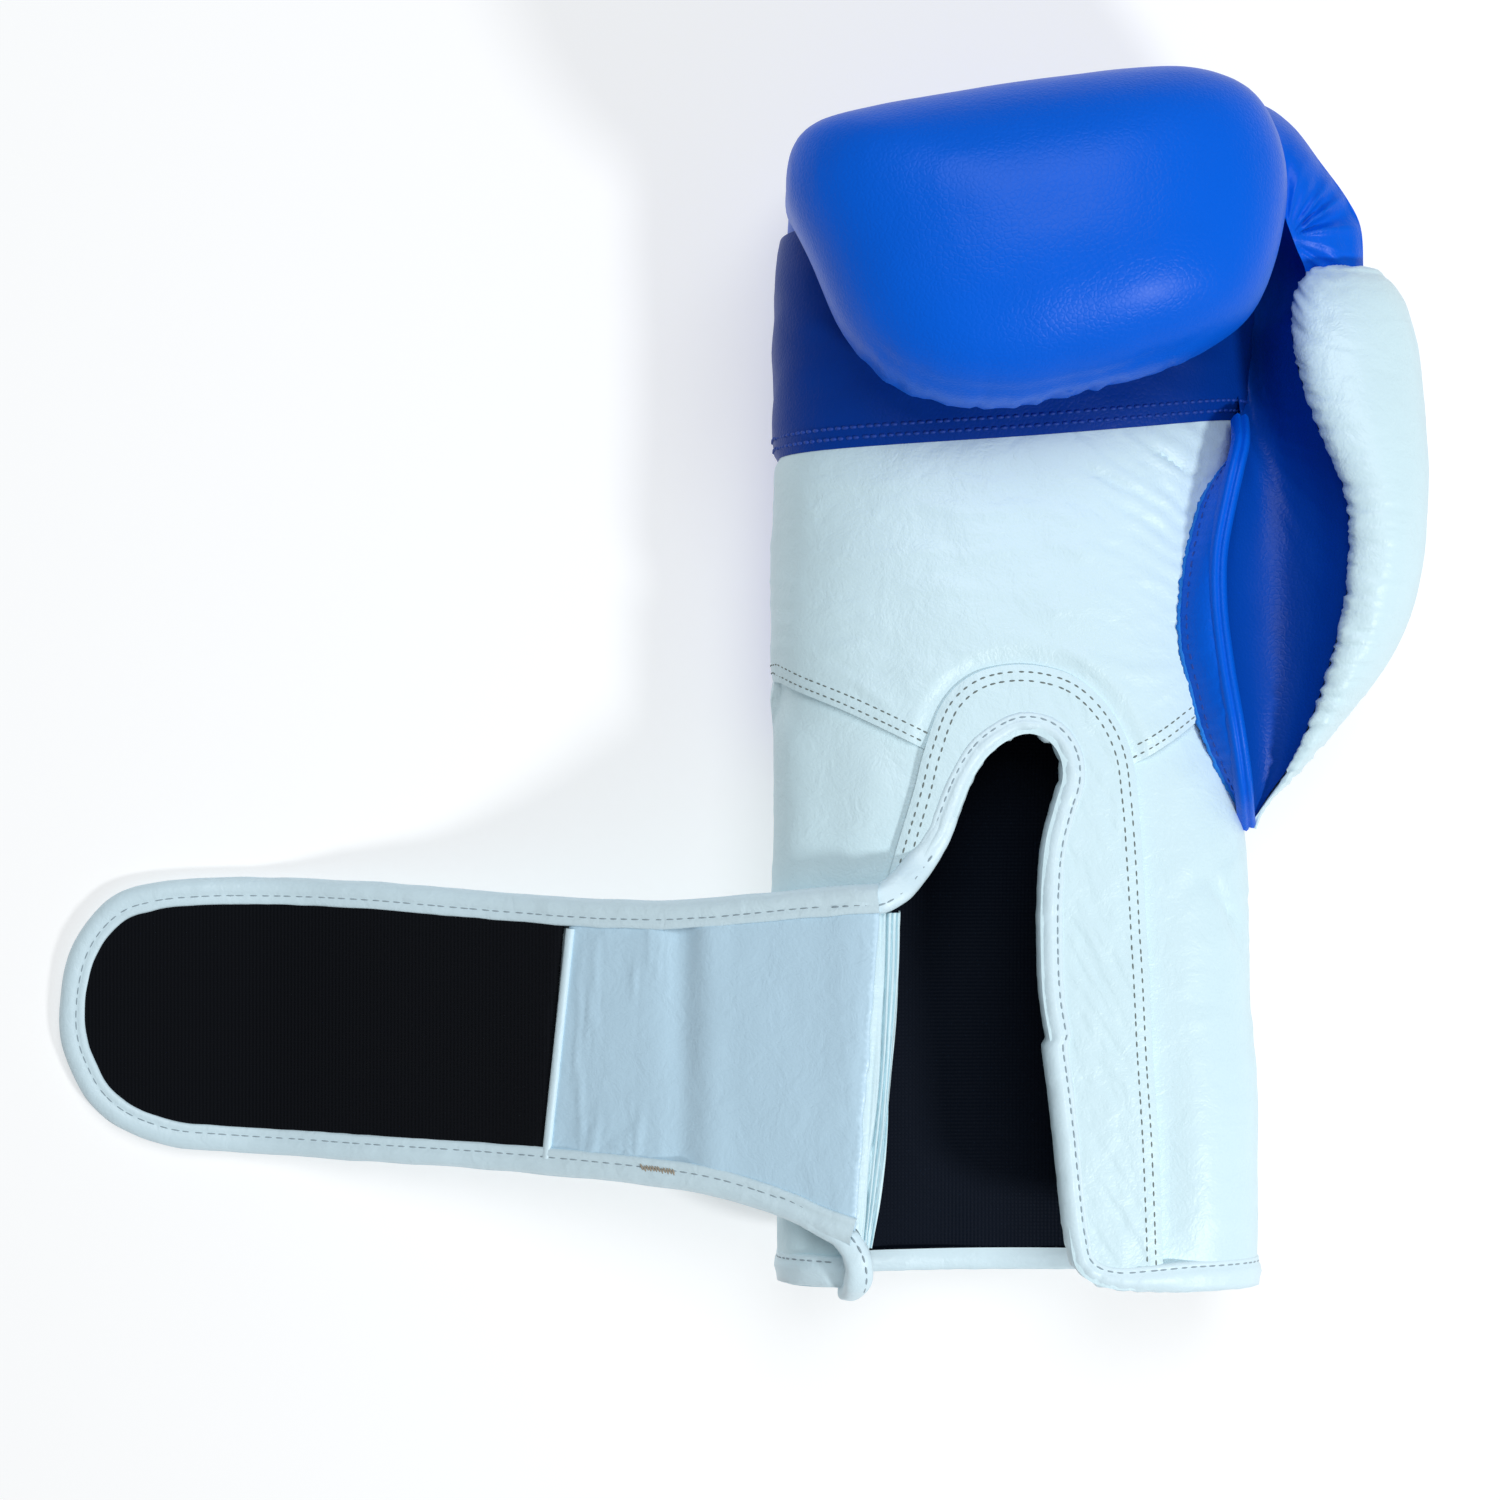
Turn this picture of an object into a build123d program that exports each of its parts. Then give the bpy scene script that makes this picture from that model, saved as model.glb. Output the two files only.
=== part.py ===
"""Right-hand leather boxing glove with a hook-and-loop wrist strap, lying open on its back.

The glove is a stack of closed layers: leather skins outside, foam under them, and a fabric lining
round the pocket for the hand and thumb. The wrist strap is three plates with a fold between each.

Frame, in millimetres: +Z points up from the table, +Y from the wrist to the knuckles, and +X to the
thumb. The palm faces up. The origin is on the table, under the middle of the palm.
"""

import math
import os

from build123d import *

os.makedirs("parts", exist_ok=True)

# --- Driving dimensions -------------------------------------------------------------------------
LEATHER = 1.6  # skin of the glove
LINING = 1.0
FACING = 1.2  # leather laid on top of the skin
WRIST_Y = -175.0  # end of the cuff
CUFF_Y = -47.0  # seam between cuff and hand
PALM_Y = 26.0  # seam between palm and finger panel
KNUCKLE_Y = 72.0  # seam across the back, behind the knuckles
CURL_Z = 66.0  # level where the curled pad leaves the finger panel
SIDE_Z = 22.0  # seam between back and palm panels
CUFF_SIDE_Z = 36.0  # seam between the back and the sides of the cuff
POCKET_Z = 37.0  # floor of the hand pocket
FINGER_END_Y = 78.0  # front of the hand pocket
OUTER_FOAM = 14.0  # thickness of the outer foam layers
CURL_CORE = 13.0  # foam over the core of the curled pad
REACH = 400.0  # larger than the glove, for cutting blocks

# Outline of the hand and cuff at stations along Y:
# (y, left, right, bottom, top, corner radius). The back is cut flat where it rests on the table.
BODY = (
    (-190, -60.5, 55.0, 11.6, 61.6, 23),
    (-125, -61.0, 54.0, 11.6, 62.0, 23),
    (-80, -62.0, 51.0, 10.0, 62.4, 23),
    (-45, -61.5, 48.5, 2.5, 63.5, 26),
    (-10, -61.0, 46.5, -1.0, 64.5, 28),
    (30, -60.5, 48.0, -1.2, 65.0, 28),
    (65, -60.0, 50.0, -1.0, 66.0, 28),
    (88, -58.0, 49.0, 3.5, 66.0, 27),
    (100, -52.0, 43.0, 12.0, 64.0, 22),
    (107, -42.0, 33.0, 24.0, 56.0, 13),
)
# The curled pad at levels along Z: (z, left, right, near, far, corner radius).
CURL = (
    (56, -54.0, 46.0, 50.0, 99.0, 18),
    (66, -58.0, 50.0, 41.0, 105.0, 22),
    (78, -60.0, 52.0, 31.0, 108.0, 26),
    (90, -60.0, 52.0, 27.0, 107.0, 28),
    (102, -57.0, 49.0, 29.0, 103.0, 27),
    (111, -50.0, 42.0, 37.0, 95.0, 24),
    (116, -38.0, 30.0, 48.0, 84.0, 16),
    (118, -20.0, 12.0, 60.0, 73.0, 5),
)
CURL_WIDEST_Z = 90.0
# The hand pocket inside its lining, at stations along Y, as BODY.
POCKET = (
    (-190, -52.0, 46.5, 21.0, 56.6, 16),
    (-125, -52.5, 45.5, 21.0, 57.0, 16),
    (-80, -53.0, 42.5, 24.0, 57.4, 15),
    (-45, -52.0, 40.0, 33.0, 58.5, 12),
    (-10, -51.0, 38.0, 38.0, 59.5, 10),
    (30, -50.0, 38.0, 38.5, 60.0, 10),
    (60, -46.0, 36.0, 39.5, 60.0, 9.5),
    (77, -38.0, 28.0, 43.0, 57.0, 6.5),
)
# The thumb, at stations along Y: (y, inner, outer, bottom, top).
THUMB = (
    (-65, 49.5, 53.0, 38.0, 46.0),
    (-52, 49.5, 63.0, 32.0, 58.0),
    (-32, 49.0, 76.5, 31.0, 68.0),
    (-6, 48.8, 86.0, 33.0, 75.0),
    (20, 50.5, 88.6, 37.0, 78.0),
    (42, 54.5, 86.6, 41.0, 79.0),
    (56, 59.0, 81.5, 46.0, 76.0),
    (64, 65.0, 76.0, 54.0, 67.0),
)
THUMB_POCKET = (
    (-36, 56.0, 70.0, 45.0, 61.0),
    (-6, 57.0, 78.0, 43.0, 65.0),
    (20, 59.0, 80.0, 46.5, 68.5),
    (42, 62.0, 78.5, 51.0, 68.0),
)
# Way from the hand pocket into the thumb: low corner and high corner.
THUMB_WAY = ((34.0, -30.0, 46.0), (66.0, -8.0, 57.5))
# Edge of the wrist opening and of its facing, seen from above, from the cuff's end round the top.
OPENING_LEFT = ((-35.0, -100.0), (-33.0, -81.0), (-20.0, -62.0))
OPENING_TOP = (-3.0, -43.5)
OPENING_RIGHT = ((3.5, -56.0), (-0.5, -76.0), (1.0, -108.0), (4.5, -145.0))
OPENING_MOUTH = (-36.0, 9.0)  # x of both edges at the cuff's end
FACING_LEFT = ((-43.0, -100.0), (-41.0, -82.0), (-35.0, -66.0), (-28.0, -48.0))
FACING_TOP = (-6.0, -29.2)
FACING_RIGHT = ((17.0, -48.0), (21.5, -83.0), (24.5, -135.0))
FACING_MOUTH = (-46.0, 26.0)
BEHIND_STRAP_Y = -84.0  # the facing and binding end here on the strap's side
BINDING_LEFT = ((-39.5, -100.0), (-37.2, -79.4), (-23.3, -58.9))
BINDING_TOP = (-3.0, -39.0)
BINDING_RIGHT = ((8.0, -55.7), (4.0, -76.0), (5.5, -108.2), (9.0, -145.3))
BINDING_MOUTH = (-40.5, 13.5)
HEM_WIDE = 7.0
# Web of leather beside the thumb, and the tie from the fist to the thumb's tip, from above.
GUSSET = ((53.0, -64.0), (33.0, -35.0), (31.0, -12.0), (36.0, 8.0), (50.0, 24.0), (60.0, 20.0))
GUSSET_Z = (57.0, 62.0)
PANEL = ((54.0, -62.0), (61.0, -39.0), (67.0, -10.0), (66.0, 16.0), (59.0, 40.0), (52.0, 50.0), (44.0, 0.0))
PANEL_Z = 52.0
TIE = ((46.0, 104.0), (58.0, 97.0), (70.0, 82.0), (76.0, 66.0), (70.0, 56.0), (57.0, 60.0), (46.0, 74.0))
TIE_Z = (48.0, 62.0)
GRIP_Y, GRIP_R = 36.0, 7.0
LOOP_TAPE = ((-12.0, -154.0), (44.0, -88.0))  # low and high corner on the back of the cuff
LOOP_THICK = 1.4
# The strap: three plates A, B and C, their slopes at rest, and its cut outline.
PIVOT = (-41.0, -121.5, 68.0)
YAW = 3.0  # the strap points this far towards +Y from -X
LENGTH_A, LENGTH_B, LENGTH_C = 100.0, 62.0, 55.0
SLOPE_A = 27.5
REST_Z = 2.6  # mid-plane of plate C over the table
HALF_WIDE, ROOT_HALF_WIDE, FLARE = 32.4, 38.0, 45.0
TAPE_START = 82.0
HALF_THICK = 2.5
CORE_LOW, CORE_MID, CORE_HIGH, INNER_TOP, TAPE_TOP = -2.2, -1.0, 0.6, 1.6, 2.0
EDGE_WALL, STRAP_BINDING_WIDE = 1.2, 6.0
FOLD_GAP, FOLD_ROLL, FOLD_WEB = 2.9, 2.2, 0.6


# --- Helpers --------------------------------------------------------------------------------------
def station_loft(stations, inset=0.0):
    """Closed solid through rounded outlines across Y, each drawn in by inset."""
    with BuildPart() as solid:
        for y, left, right, bottom, top, radius in stations:
            with BuildSketch(Plane.XZ.offset(-y)):
                with Locations(((left + right) / 2, (bottom + top) / 2)):
                    wide = right - left - 2 * inset
                    high = top - bottom - 2 * inset
                    RectangleRounded(wide, high, min(radius, 0.46 * min(wide, high)))
        loft(ruled=True)
    return solid.part


def body_solid(inset=0.0):
    """Hand and cuff, its front drawn back by inset too."""
    last = len(BODY) - 1
    drawn = [
        (row[0] - inset * max(0.0, (i - last + 3) / 3), *row[1:]) for i, row in enumerate(BODY)
    ]
    return station_loft(drawn, inset)


def curl_solid(inset=0.0):
    """The pad that curls over the fingers, drawn in by inset."""
    top = CURL[-1][0]
    with BuildPart() as solid:
        for z, left, right, near, far, radius in CURL:
            above = max(0.0, z - CURL_WIDEST_Z) / (top - CURL_WIDEST_Z)
            with BuildSketch(Plane.XY.offset(z - inset * above)):
                with Locations(((left + right) / 2, (near + far) / 2)):
                    wide = max(right - left - 2 * inset, 4.0)
                    long = max(far - near - 2 * inset, 3.0)
                    RectangleRounded(wide, long, min(radius, 0.46 * min(wide, long)))
        loft(ruled=True)
    return solid.part


def envelope(inset=0.0):
    """Everything inside the glove's skin, without the thumb, cut off at the table and the wrist."""
    with BuildPart() as solid:
        add(body_solid(inset))
        add(curl_solid(inset))
        add(block(low=(-REACH, WRIST_Y, max(inset, 0.0)), high=(REACH, REACH, REACH)), mode=Mode.INTERSECT)
    return solid.part


def ellipse_loft(stations, inset=0.0):
    """Closed solid through ellipses across Y, each drawn in by inset."""
    with BuildPart() as solid:
        for y, inner, outer, bottom, top in stations:
            with BuildSketch(Plane.XZ.offset(-y)):
                with Locations(((inner + outer) / 2, (bottom + top) / 2)):
                    Ellipse(
                        max((outer - inner) / 2 - inset, 0.8),
                        max((top - bottom) / 2 - inset, 0.8),
                    )
        loft(ruled=True)
    return solid.part


def block(low, high):
    """Box between two corners."""
    with BuildPart() as solid:
        with Locations(tuple((a + b) / 2 for a, b in zip(low, high))):
            Box(*(b - a for a, b in zip(low, high)))
    return solid.part


def prism(points, low, high):
    """Upright solid whose outline is a smooth closed curve through points."""
    with BuildPart() as solid:
        with BuildSketch(Plane.XY.offset(low)):
            with BuildLine():
                Spline(*points, periodic=True)
            make_face()
        extrude(amount=high - low)
    return solid.part


def arch(left, top, right, mouth, low=48.0, high=80.0):
    """Upright solid with an arched outline, open past the cuff's end."""
    end = WRIST_Y - 15.0
    with BuildPart() as solid:
        with BuildSketch(Plane.XY.offset(low)):
            with BuildLine():
                Spline((mouth[0], end), *left, top, *right, (mouth[1], end))
                Line((mouth[1], end), (mouth[0], end))
            make_face()
        extrude(amount=high - low)
    return solid.part


def cut(base, *tools, keep=()):
    """base without the tools, and only where it lies in every part of keep."""
    with BuildPart() as solid:
        add(base)
        for tool in tools:
            add(tool, mode=Mode.SUBTRACT)
        for tool in keep:
            add(tool, mode=Mode.INTERSECT)
    return solid.part


def joined(*parts):
    with BuildPart() as solid:
        for part in parts:
            add(part)
    return solid.part


def region(x=(-REACH, REACH), y=(-REACH, REACH), z=(-REACH, REACH)):
    """Block that keeps a range of x, y and z."""
    return block((x[0], y[0], z[0]), (x[1], y[1], z[1]))


def write(part, name):
    part.label = name
    export_step(part, f"parts/{name}.step")


# --- Common volumes -------------------------------------------------------------------------------
outside = envelope()
under_skin = envelope(LEATHER)
raised = station_loft(BODY, -FACING)
bound = station_loft(BODY, -2 * FACING)
pocket = station_loft(POCKET)
pocket_wall = station_loft(POCKET, -LINING)
thumb_outside = ellipse_loft(THUMB)
thumb_under_skin = ellipse_loft(THUMB, LEATHER)
thumb_pocket = ellipse_loft(THUMB_POCKET)
thumb_pocket_wall = ellipse_loft(THUMB_POCKET, -LINING)
way = block(*THUMB_WAY)
way_wall = block(
    tuple(v - LINING * (i > 0) for i, v in enumerate(THUMB_WAY[0])),
    tuple(v + LINING * (i > 0) for i, v in enumerate(THUMB_WAY[1])),
)
hollow = joined(pocket, thumb_pocket, way)
hollow_wall = joined(pocket_wall, thumb_pocket_wall, way_wall)
opening = arch(OPENING_LEFT, OPENING_TOP, OPENING_RIGHT, OPENING_MOUTH)

# --- Leather skin ---------------------------------------------------------------------------------
skin = cut(outside, under_skin, opening, hollow_wall)
hand = (CUFF_Y, REACH)
cuff = (-REACH, CUFF_Y)
write(cut(skin, keep=[region(y=(CUFF_Y, KNUCKLE_Y), z=(-REACH, SIDE_Z))]), "back_panel")
write(cut(skin, keep=[region(y=(CUFF_Y, PALM_Y), z=(SIDE_Z, CURL_Z))]), "palm_panel")
finger_side = region(y=(PALM_Y, KNUCKLE_Y), z=(SIDE_Z, CURL_Z))
write(cut(skin, curl_solid(), keep=[finger_side]), "finger_panel")
fist_shell = joined(
    cut(skin, region(z=(-REACH, CURL_Z))),
    cut(skin, keep=[region(y=(KNUCKLE_Y, REACH), z=(-REACH, CURL_Z))]),
    cut(skin, keep=[finger_side, curl_solid()]),
)
write(fist_shell, "fist_shell")
write(cut(skin, keep=[region(y=cuff, z=(-REACH, CUFF_SIDE_Z))]), "cuff_panel_back")
MIDDLE_X = OPENING_TOP[0]
SIDES = {"little_finger_side": (-REACH, MIDDLE_X), "thumb_side": (MIDDLE_X, REACH)}
for side, x_range in SIDES.items():
    upper = region(x=x_range, y=cuff, z=(CUFF_SIDE_Z, REACH))
    write(cut(skin, keep=[upper]), f"cuff_panel_{side}")

# --- Foam -----------------------------------------------------------------------------------------
foam = cut(under_skin, hollow_wall, opening)
below_pocket = region(y=(CUFF_Y, FINGER_END_Y), z=(-REACH, POCKET_Z))
write(cut(foam, keep=[below_pocket, region(z=(-REACH, OUTER_FOAM))]), "back_foam_outer")
write(cut(foam, keep=[below_pocket, region(z=(OUTER_FOAM, REACH))]), "back_foam_inner")
write(cut(foam, keep=[region(y=(CUFF_Y, FINGER_END_Y), z=(POCKET_Z, CURL_Z))]), "palm_foam")
write(cut(foam, keep=[region(y=(FINGER_END_Y, REACH), z=(-REACH, CURL_Z))]), "knuckle_foam")
curl_core = curl_solid(CURL_CORE)
above_fingers = region(z=(CURL_Z, REACH))
write(cut(foam, curl_core, keep=[above_fingers]), "curl_foam_outer")
write(cut(curl_core, keep=[above_fingers]), "curl_foam_core")
write(cut(foam, keep=[region(y=cuff, z=(-REACH, CUFF_SIDE_Z))]), "cuff_foam_back")
for side, x_range in SIDES.items():
    upper = region(x=x_range, y=cuff, z=(CUFF_SIDE_Z, REACH))
    write(cut(foam, keep=[upper]), f"cuff_foam_{side}")

# --- Lining and grip ------------------------------------------------------------------------------
lining = cut(hollow_wall, hollow, opening, region(y=(-REACH, WRIST_Y)))
write(cut(lining, keep=[region(y=hand)]), "hand_lining")
write(cut(lining, keep=[region(y=cuff)]), "cuff_lining")
with BuildPart() as grip_bar:
    with Locations(Location((0, GRIP_Y, POCKET[5][4]), (0, 90, 0))):
        Cylinder(GRIP_R, REACH)
    add(pocket, mode=Mode.INTERSECT)
write(grip_bar.part, "grip_bar")

# --- Facing, binding and hem of the wrist opening -------------------------------------------------
behind_strap = region(x=(-REACH, -20.0), y=(-REACH, BEHIND_STRAP_Y))
hem_zone = region(y=(-REACH, WRIST_Y + HEM_WIDE))
binding_zone = arch(BINDING_LEFT, BINDING_TOP, BINDING_RIGHT, BINDING_MOUTH)
edge = cut(binding_zone, opening, behind_strap, hem_zone)
write(cut(cut(edge, keep=[bound]), outside), "opening_binding")
facing_zone = arch(FACING_LEFT, FACING_TOP, FACING_RIGHT, FACING_MOUTH)
facing = cut(facing_zone, binding_zone, behind_strap, hem_zone)
write(cut(cut(facing, keep=[raised]), outside), "opening_facing")
hem_ring = region(y=(WRIST_Y - FACING, WRIST_Y + HEM_WIDE))
write(cut(raised, outside, pocket, opening, keep=[hem_ring]), "hem_binding")

# --- Thumb ----------------------------------------------------------------------------------------
thumb_skin = cut(thumb_outside, thumb_under_skin, hollow_wall, outside)
panel_zone = prism(PANEL, PANEL_Z, REACH)
write(cut(thumb_skin, panel_zone), "thumb_shell")
write(cut(thumb_skin, keep=[panel_zone]), "thumb_inner_panel")
write(cut(thumb_under_skin, hollow_wall, outside), "thumb_foam")
write(cut(prism(GUSSET, *GUSSET_Z), outside, thumb_outside, hollow_wall), "thumb_gusset")
write(cut(prism(TIE, *TIE_Z), outside, thumb_outside), "thumb_attachment")

# --- Loop tape on the back of the cuff ------------------------------------------------------------
(tape_low, tape_high) = LOOP_TAPE
tape_zone = block((*tape_low, 0.0), (*tape_high, 25.0))
loop_sheet = cut(station_loft(BODY, -LOOP_THICK), outside, keep=[tape_zone])
write(loop_sheet, "loop_tape")

# --- Strap ----------------------------------------------------------------------------------------
STRAP = LENGTH_A + LENGTH_B + LENGTH_C
SLOPE_B = math.degrees(
    math.asin((PIVOT[2] - REST_Z - LENGTH_A * math.sin(math.radians(SLOPE_A))) / LENGTH_B)
)


def strap_plate(inset, low, high):
    """The strap's outline laid flat, drawn in by inset: x along it from the root, z its thickness."""
    wide, root_wide = HALF_WIDE - inset, ROOT_HALF_WIDE - inset
    bow = STRAP - inset - wide
    with BuildPart() as plate:
        with BuildSketch(Plane.XY.offset(low)):
            with BuildLine():
                Spline((0, root_wide), (FLARE, wide), tangents=((1, -0.4), (1, 0)))
                Line((FLARE, wide), (bow, wide))
                ThreePointArc((bow, wide), (bow + wide, 0), (bow, -wide))
                Line((bow, -wide), (FLARE, -wide))
                Spline((FLARE, -wide), (0, -root_wide), tangents=((-1, 0), (-1, -0.4)))
                Line((0, -root_wide), (0, root_wide))
            make_face()
        extrude(amount=high - low)
    return plate.part


def strap_plane(start, slope):
    """Plane of a plate: x along the strap away from the glove, z up on the hook side."""
    yaw, tilt = math.radians(YAW), math.radians(slope)
    along = (-math.cos(yaw) * math.cos(tilt), math.sin(yaw) * math.cos(tilt), -math.sin(tilt))
    normal = (-math.cos(yaw) * math.sin(tilt), math.sin(yaw) * math.sin(tilt), math.cos(tilt))
    return Plane(origin=start, x_dir=along, z_dir=normal)


def further(start, plane, length):
    """Point at length along a plate."""
    return tuple(a + length * b for a, b in zip(start, plane.x_dir))


plane_a = strap_plane(PIVOT, SLOPE_A)
fold_b = further(PIVOT, plane_a, LENGTH_A)
plane_b = strap_plane(fold_b, SLOPE_B)
fold_c = further(fold_b, plane_b, LENGTH_B)
plane_c = strap_plane(fold_c, 0.0)
print("folds at", fold_b, fold_c, "axis", plane_a.y_dir, "slopes", SLOPE_A, SLOPE_B)

core = strap_plate(EDGE_WALL, CORE_LOW, TAPE_TOP)
rim = cut(
    strap_plate(0.0, -HALF_THICK, HALF_THICK),
    strap_plate(STRAP_BINDING_WIDE, -HALF_THICK, HALF_THICK),
    core,
)
layers = {
    "strap_outer_leather": strap_plate(EDGE_WALL, CORE_LOW, CORE_MID),
    "strap_foam": strap_plate(EDGE_WALL, CORE_MID, CORE_HIGH),
    "strap_hook_tape": cut(
        strap_plate(EDGE_WALL, CORE_HIGH, TAPE_TOP), region(x=(-REACH, TAPE_START))
    ),
    "strap_binding": rim,
}
inner_leather = cut(
    strap_plate(EDGE_WALL, CORE_HIGH, INNER_TOP), region(x=(TAPE_START, REACH))
)
SEGMENTS = (
    ("root", 0.0, LENGTH_A, plane_a),
    ("middle", LENGTH_A, LENGTH_A + LENGTH_B, plane_b),
    ("tip", LENGTH_A + LENGTH_B, STRAP + FOLD_GAP, plane_c),
)


def placed(part, start, end, plane):
    """The stretch of a flat strap layer from start to end, clear of its folds and laid on its plane."""
    piece = cut(part, keep=[region(x=(start + FOLD_GAP, end - FOLD_GAP))])
    return plane.from_local_coords(piece.moved(Location((-start, 0, 0))))


def fold_roll(at, half_wide):
    """Roll of leather along a fold, laid flat."""
    with BuildPart() as roll:
        with Locations(Location((at, 0, 0), (90, 0, 0))):
            Cylinder(FOLD_ROLL, 2 * half_wide)
    return roll.part


def fold_web(at, half_wide):
    """Stretch of outer leather that joins a plate to the roll at its far end."""
    return block((at - FOLD_GAP, -half_wide, CORE_LOW), (at - FOLD_GAP / 5, half_wide, CORE_MID))


for name, layer in layers.items():
    for segment, start, end, plane in SEGMENTS:
        piece = placed(layer, start, end, plane)
        if name == "strap_outer_leather" and segment != "tip":
            length, half_wide = end - start, HALF_WIDE - EDGE_WALL
            fold = joined(fold_roll(length, half_wide), fold_web(length, half_wide))
            piece = joined(piece, plane.from_local_coords(fold))
        write(piece, f"{name}_{segment}")
write(placed(inner_leather, *SEGMENTS[0][1:]), "strap_inner_leather")

# The folded leather that carries the strap: a roll on the fold line, on a web that stands on the cuff.
ANCHOR_FOOT = 8.0  # how far the web reaches below the fold line
anchor_half_wide = ROOT_HALF_WIDE - 4
anchor = joined(
    fold_roll(0.0, anchor_half_wide),
    block((-FOLD_WEB, -anchor_half_wide, -ANCHOR_FOOT), (FOLD_WEB, anchor_half_wide, 0.0)),
)
write(cut(strap_plane(PIVOT, 0.0).from_local_coords(anchor), outside), "strap_anchor")
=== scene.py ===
"""Looks of a leather boxing glove lying palm up with its strap open.

Lengths are in millimetres until a mesh is made.
"""

import math

import bpy
import numpy as np
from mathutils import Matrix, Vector, geometry, noise
from mathutils.bvhtree import BVHTree


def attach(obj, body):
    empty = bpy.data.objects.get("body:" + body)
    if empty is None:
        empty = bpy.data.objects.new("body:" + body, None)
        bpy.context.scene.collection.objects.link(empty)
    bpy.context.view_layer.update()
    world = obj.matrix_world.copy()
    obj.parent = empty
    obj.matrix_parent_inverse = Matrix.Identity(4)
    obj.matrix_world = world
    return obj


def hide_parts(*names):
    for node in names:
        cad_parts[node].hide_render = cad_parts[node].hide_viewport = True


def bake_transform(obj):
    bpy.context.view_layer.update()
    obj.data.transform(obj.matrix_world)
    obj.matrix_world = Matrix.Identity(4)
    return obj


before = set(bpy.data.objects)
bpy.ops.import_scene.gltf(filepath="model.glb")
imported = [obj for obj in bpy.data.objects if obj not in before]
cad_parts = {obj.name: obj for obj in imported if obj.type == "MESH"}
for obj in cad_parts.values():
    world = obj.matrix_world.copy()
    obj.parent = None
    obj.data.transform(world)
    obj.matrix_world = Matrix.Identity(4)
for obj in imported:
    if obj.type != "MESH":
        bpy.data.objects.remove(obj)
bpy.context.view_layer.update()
MM = 0.001
UP = (0.0, 0.0, 1.0)


# ---------------------------------------------------------------- materials
def node(tree, kind, **values):
    n = tree.nodes.new(kind)
    for key, value in values.items():
        if key in n.inputs:
            n.inputs[key].default_value = value
        else:
            setattr(n, key, value)
    return n


def material(name, color, rough, grain=0.0, grain_size=1.2, wrinkle=0.0, wrinkle_size=12.0,
             mottled=0.0, specular=0.5, weave=0.0, weave_size=0.6, coat=0.0):
    """Principled surface: colour varied a little, with grain, weave and wrinkles as bumps."""
    m = bpy.data.materials.new(name)
    m.use_nodes = True
    t = m.node_tree
    p = t.nodes["Principled BSDF"]
    main = {"Base Color": (*color, 1.0), "Roughness": rough, "Specular IOR Level": specular,
            "Coat Weight": coat, "Coat Roughness": 0.27}
    for key, value in main.items():
        p.inputs[key].default_value = value
    coords = node(t, "ShaderNodeTexCoord")
    link = t.links.new
    last = None

    def texture(kind, **values):
        n = node(t, kind, **values)
        link(coords.outputs["Object"], n.inputs["Vector"])
        return n.outputs

    def bump(height, strength, distance):
        nonlocal last
        b = node(t, "ShaderNodeBump", Strength=strength, Distance=distance * MM)
        link(height, b.inputs["Height"])
        if last is not None:
            link(last, b.inputs["Normal"])
        last = b.outputs["Normal"]

    if wrinkle:
        scale = 1 / (wrinkle_size * MM)
        lumps = texture("ShaderNodeTexNoise", Scale=scale, Detail=4.0, Roughness=0.6, Distortion=0.6)
        bump(lumps["Fac"], wrinkle, 1.2)
    if grain:
        cells = texture("ShaderNodeTexVoronoi", Scale=1 / (grain_size * MM), feature="DISTANCE_TO_EDGE")
        r = node(t, "ShaderNodeMapRange", **{"From Max": 0.25})
        link(cells["Distance"], r.inputs["Value"])
        bump(r.outputs["Result"], grain, 0.12)
    if weave:
        scale = 0.314 / (weave_size * MM)
        for axis in ("X", "Y"):
            threads = texture("ShaderNodeTexWave", bands_direction=axis, Scale=scale,
                              Distortion=0.8, **{"Detail Scale": 2.0})
            bump(threads["Fac"], weave, 0.2)
    if mottled:
        patches = texture("ShaderNodeTexNoise", Scale=1 / (26 * MM), Detail=3.0)
        mix = node(t, "ShaderNodeMix", data_type="RGBA")
        for side, amount in (("A", 1 - mottled), ("B", 1 + mottled)):
            mix.inputs[side].default_value = (*(min(1.0, c * amount) for c in color), 1.0)
        link(patches["Fac"], mix.inputs["Factor"])
        link(mix.outputs["Result"], p.inputs["Base Color"])
    if last is not None:
        link(last, p.inputs["Normal"])
    return m


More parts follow.
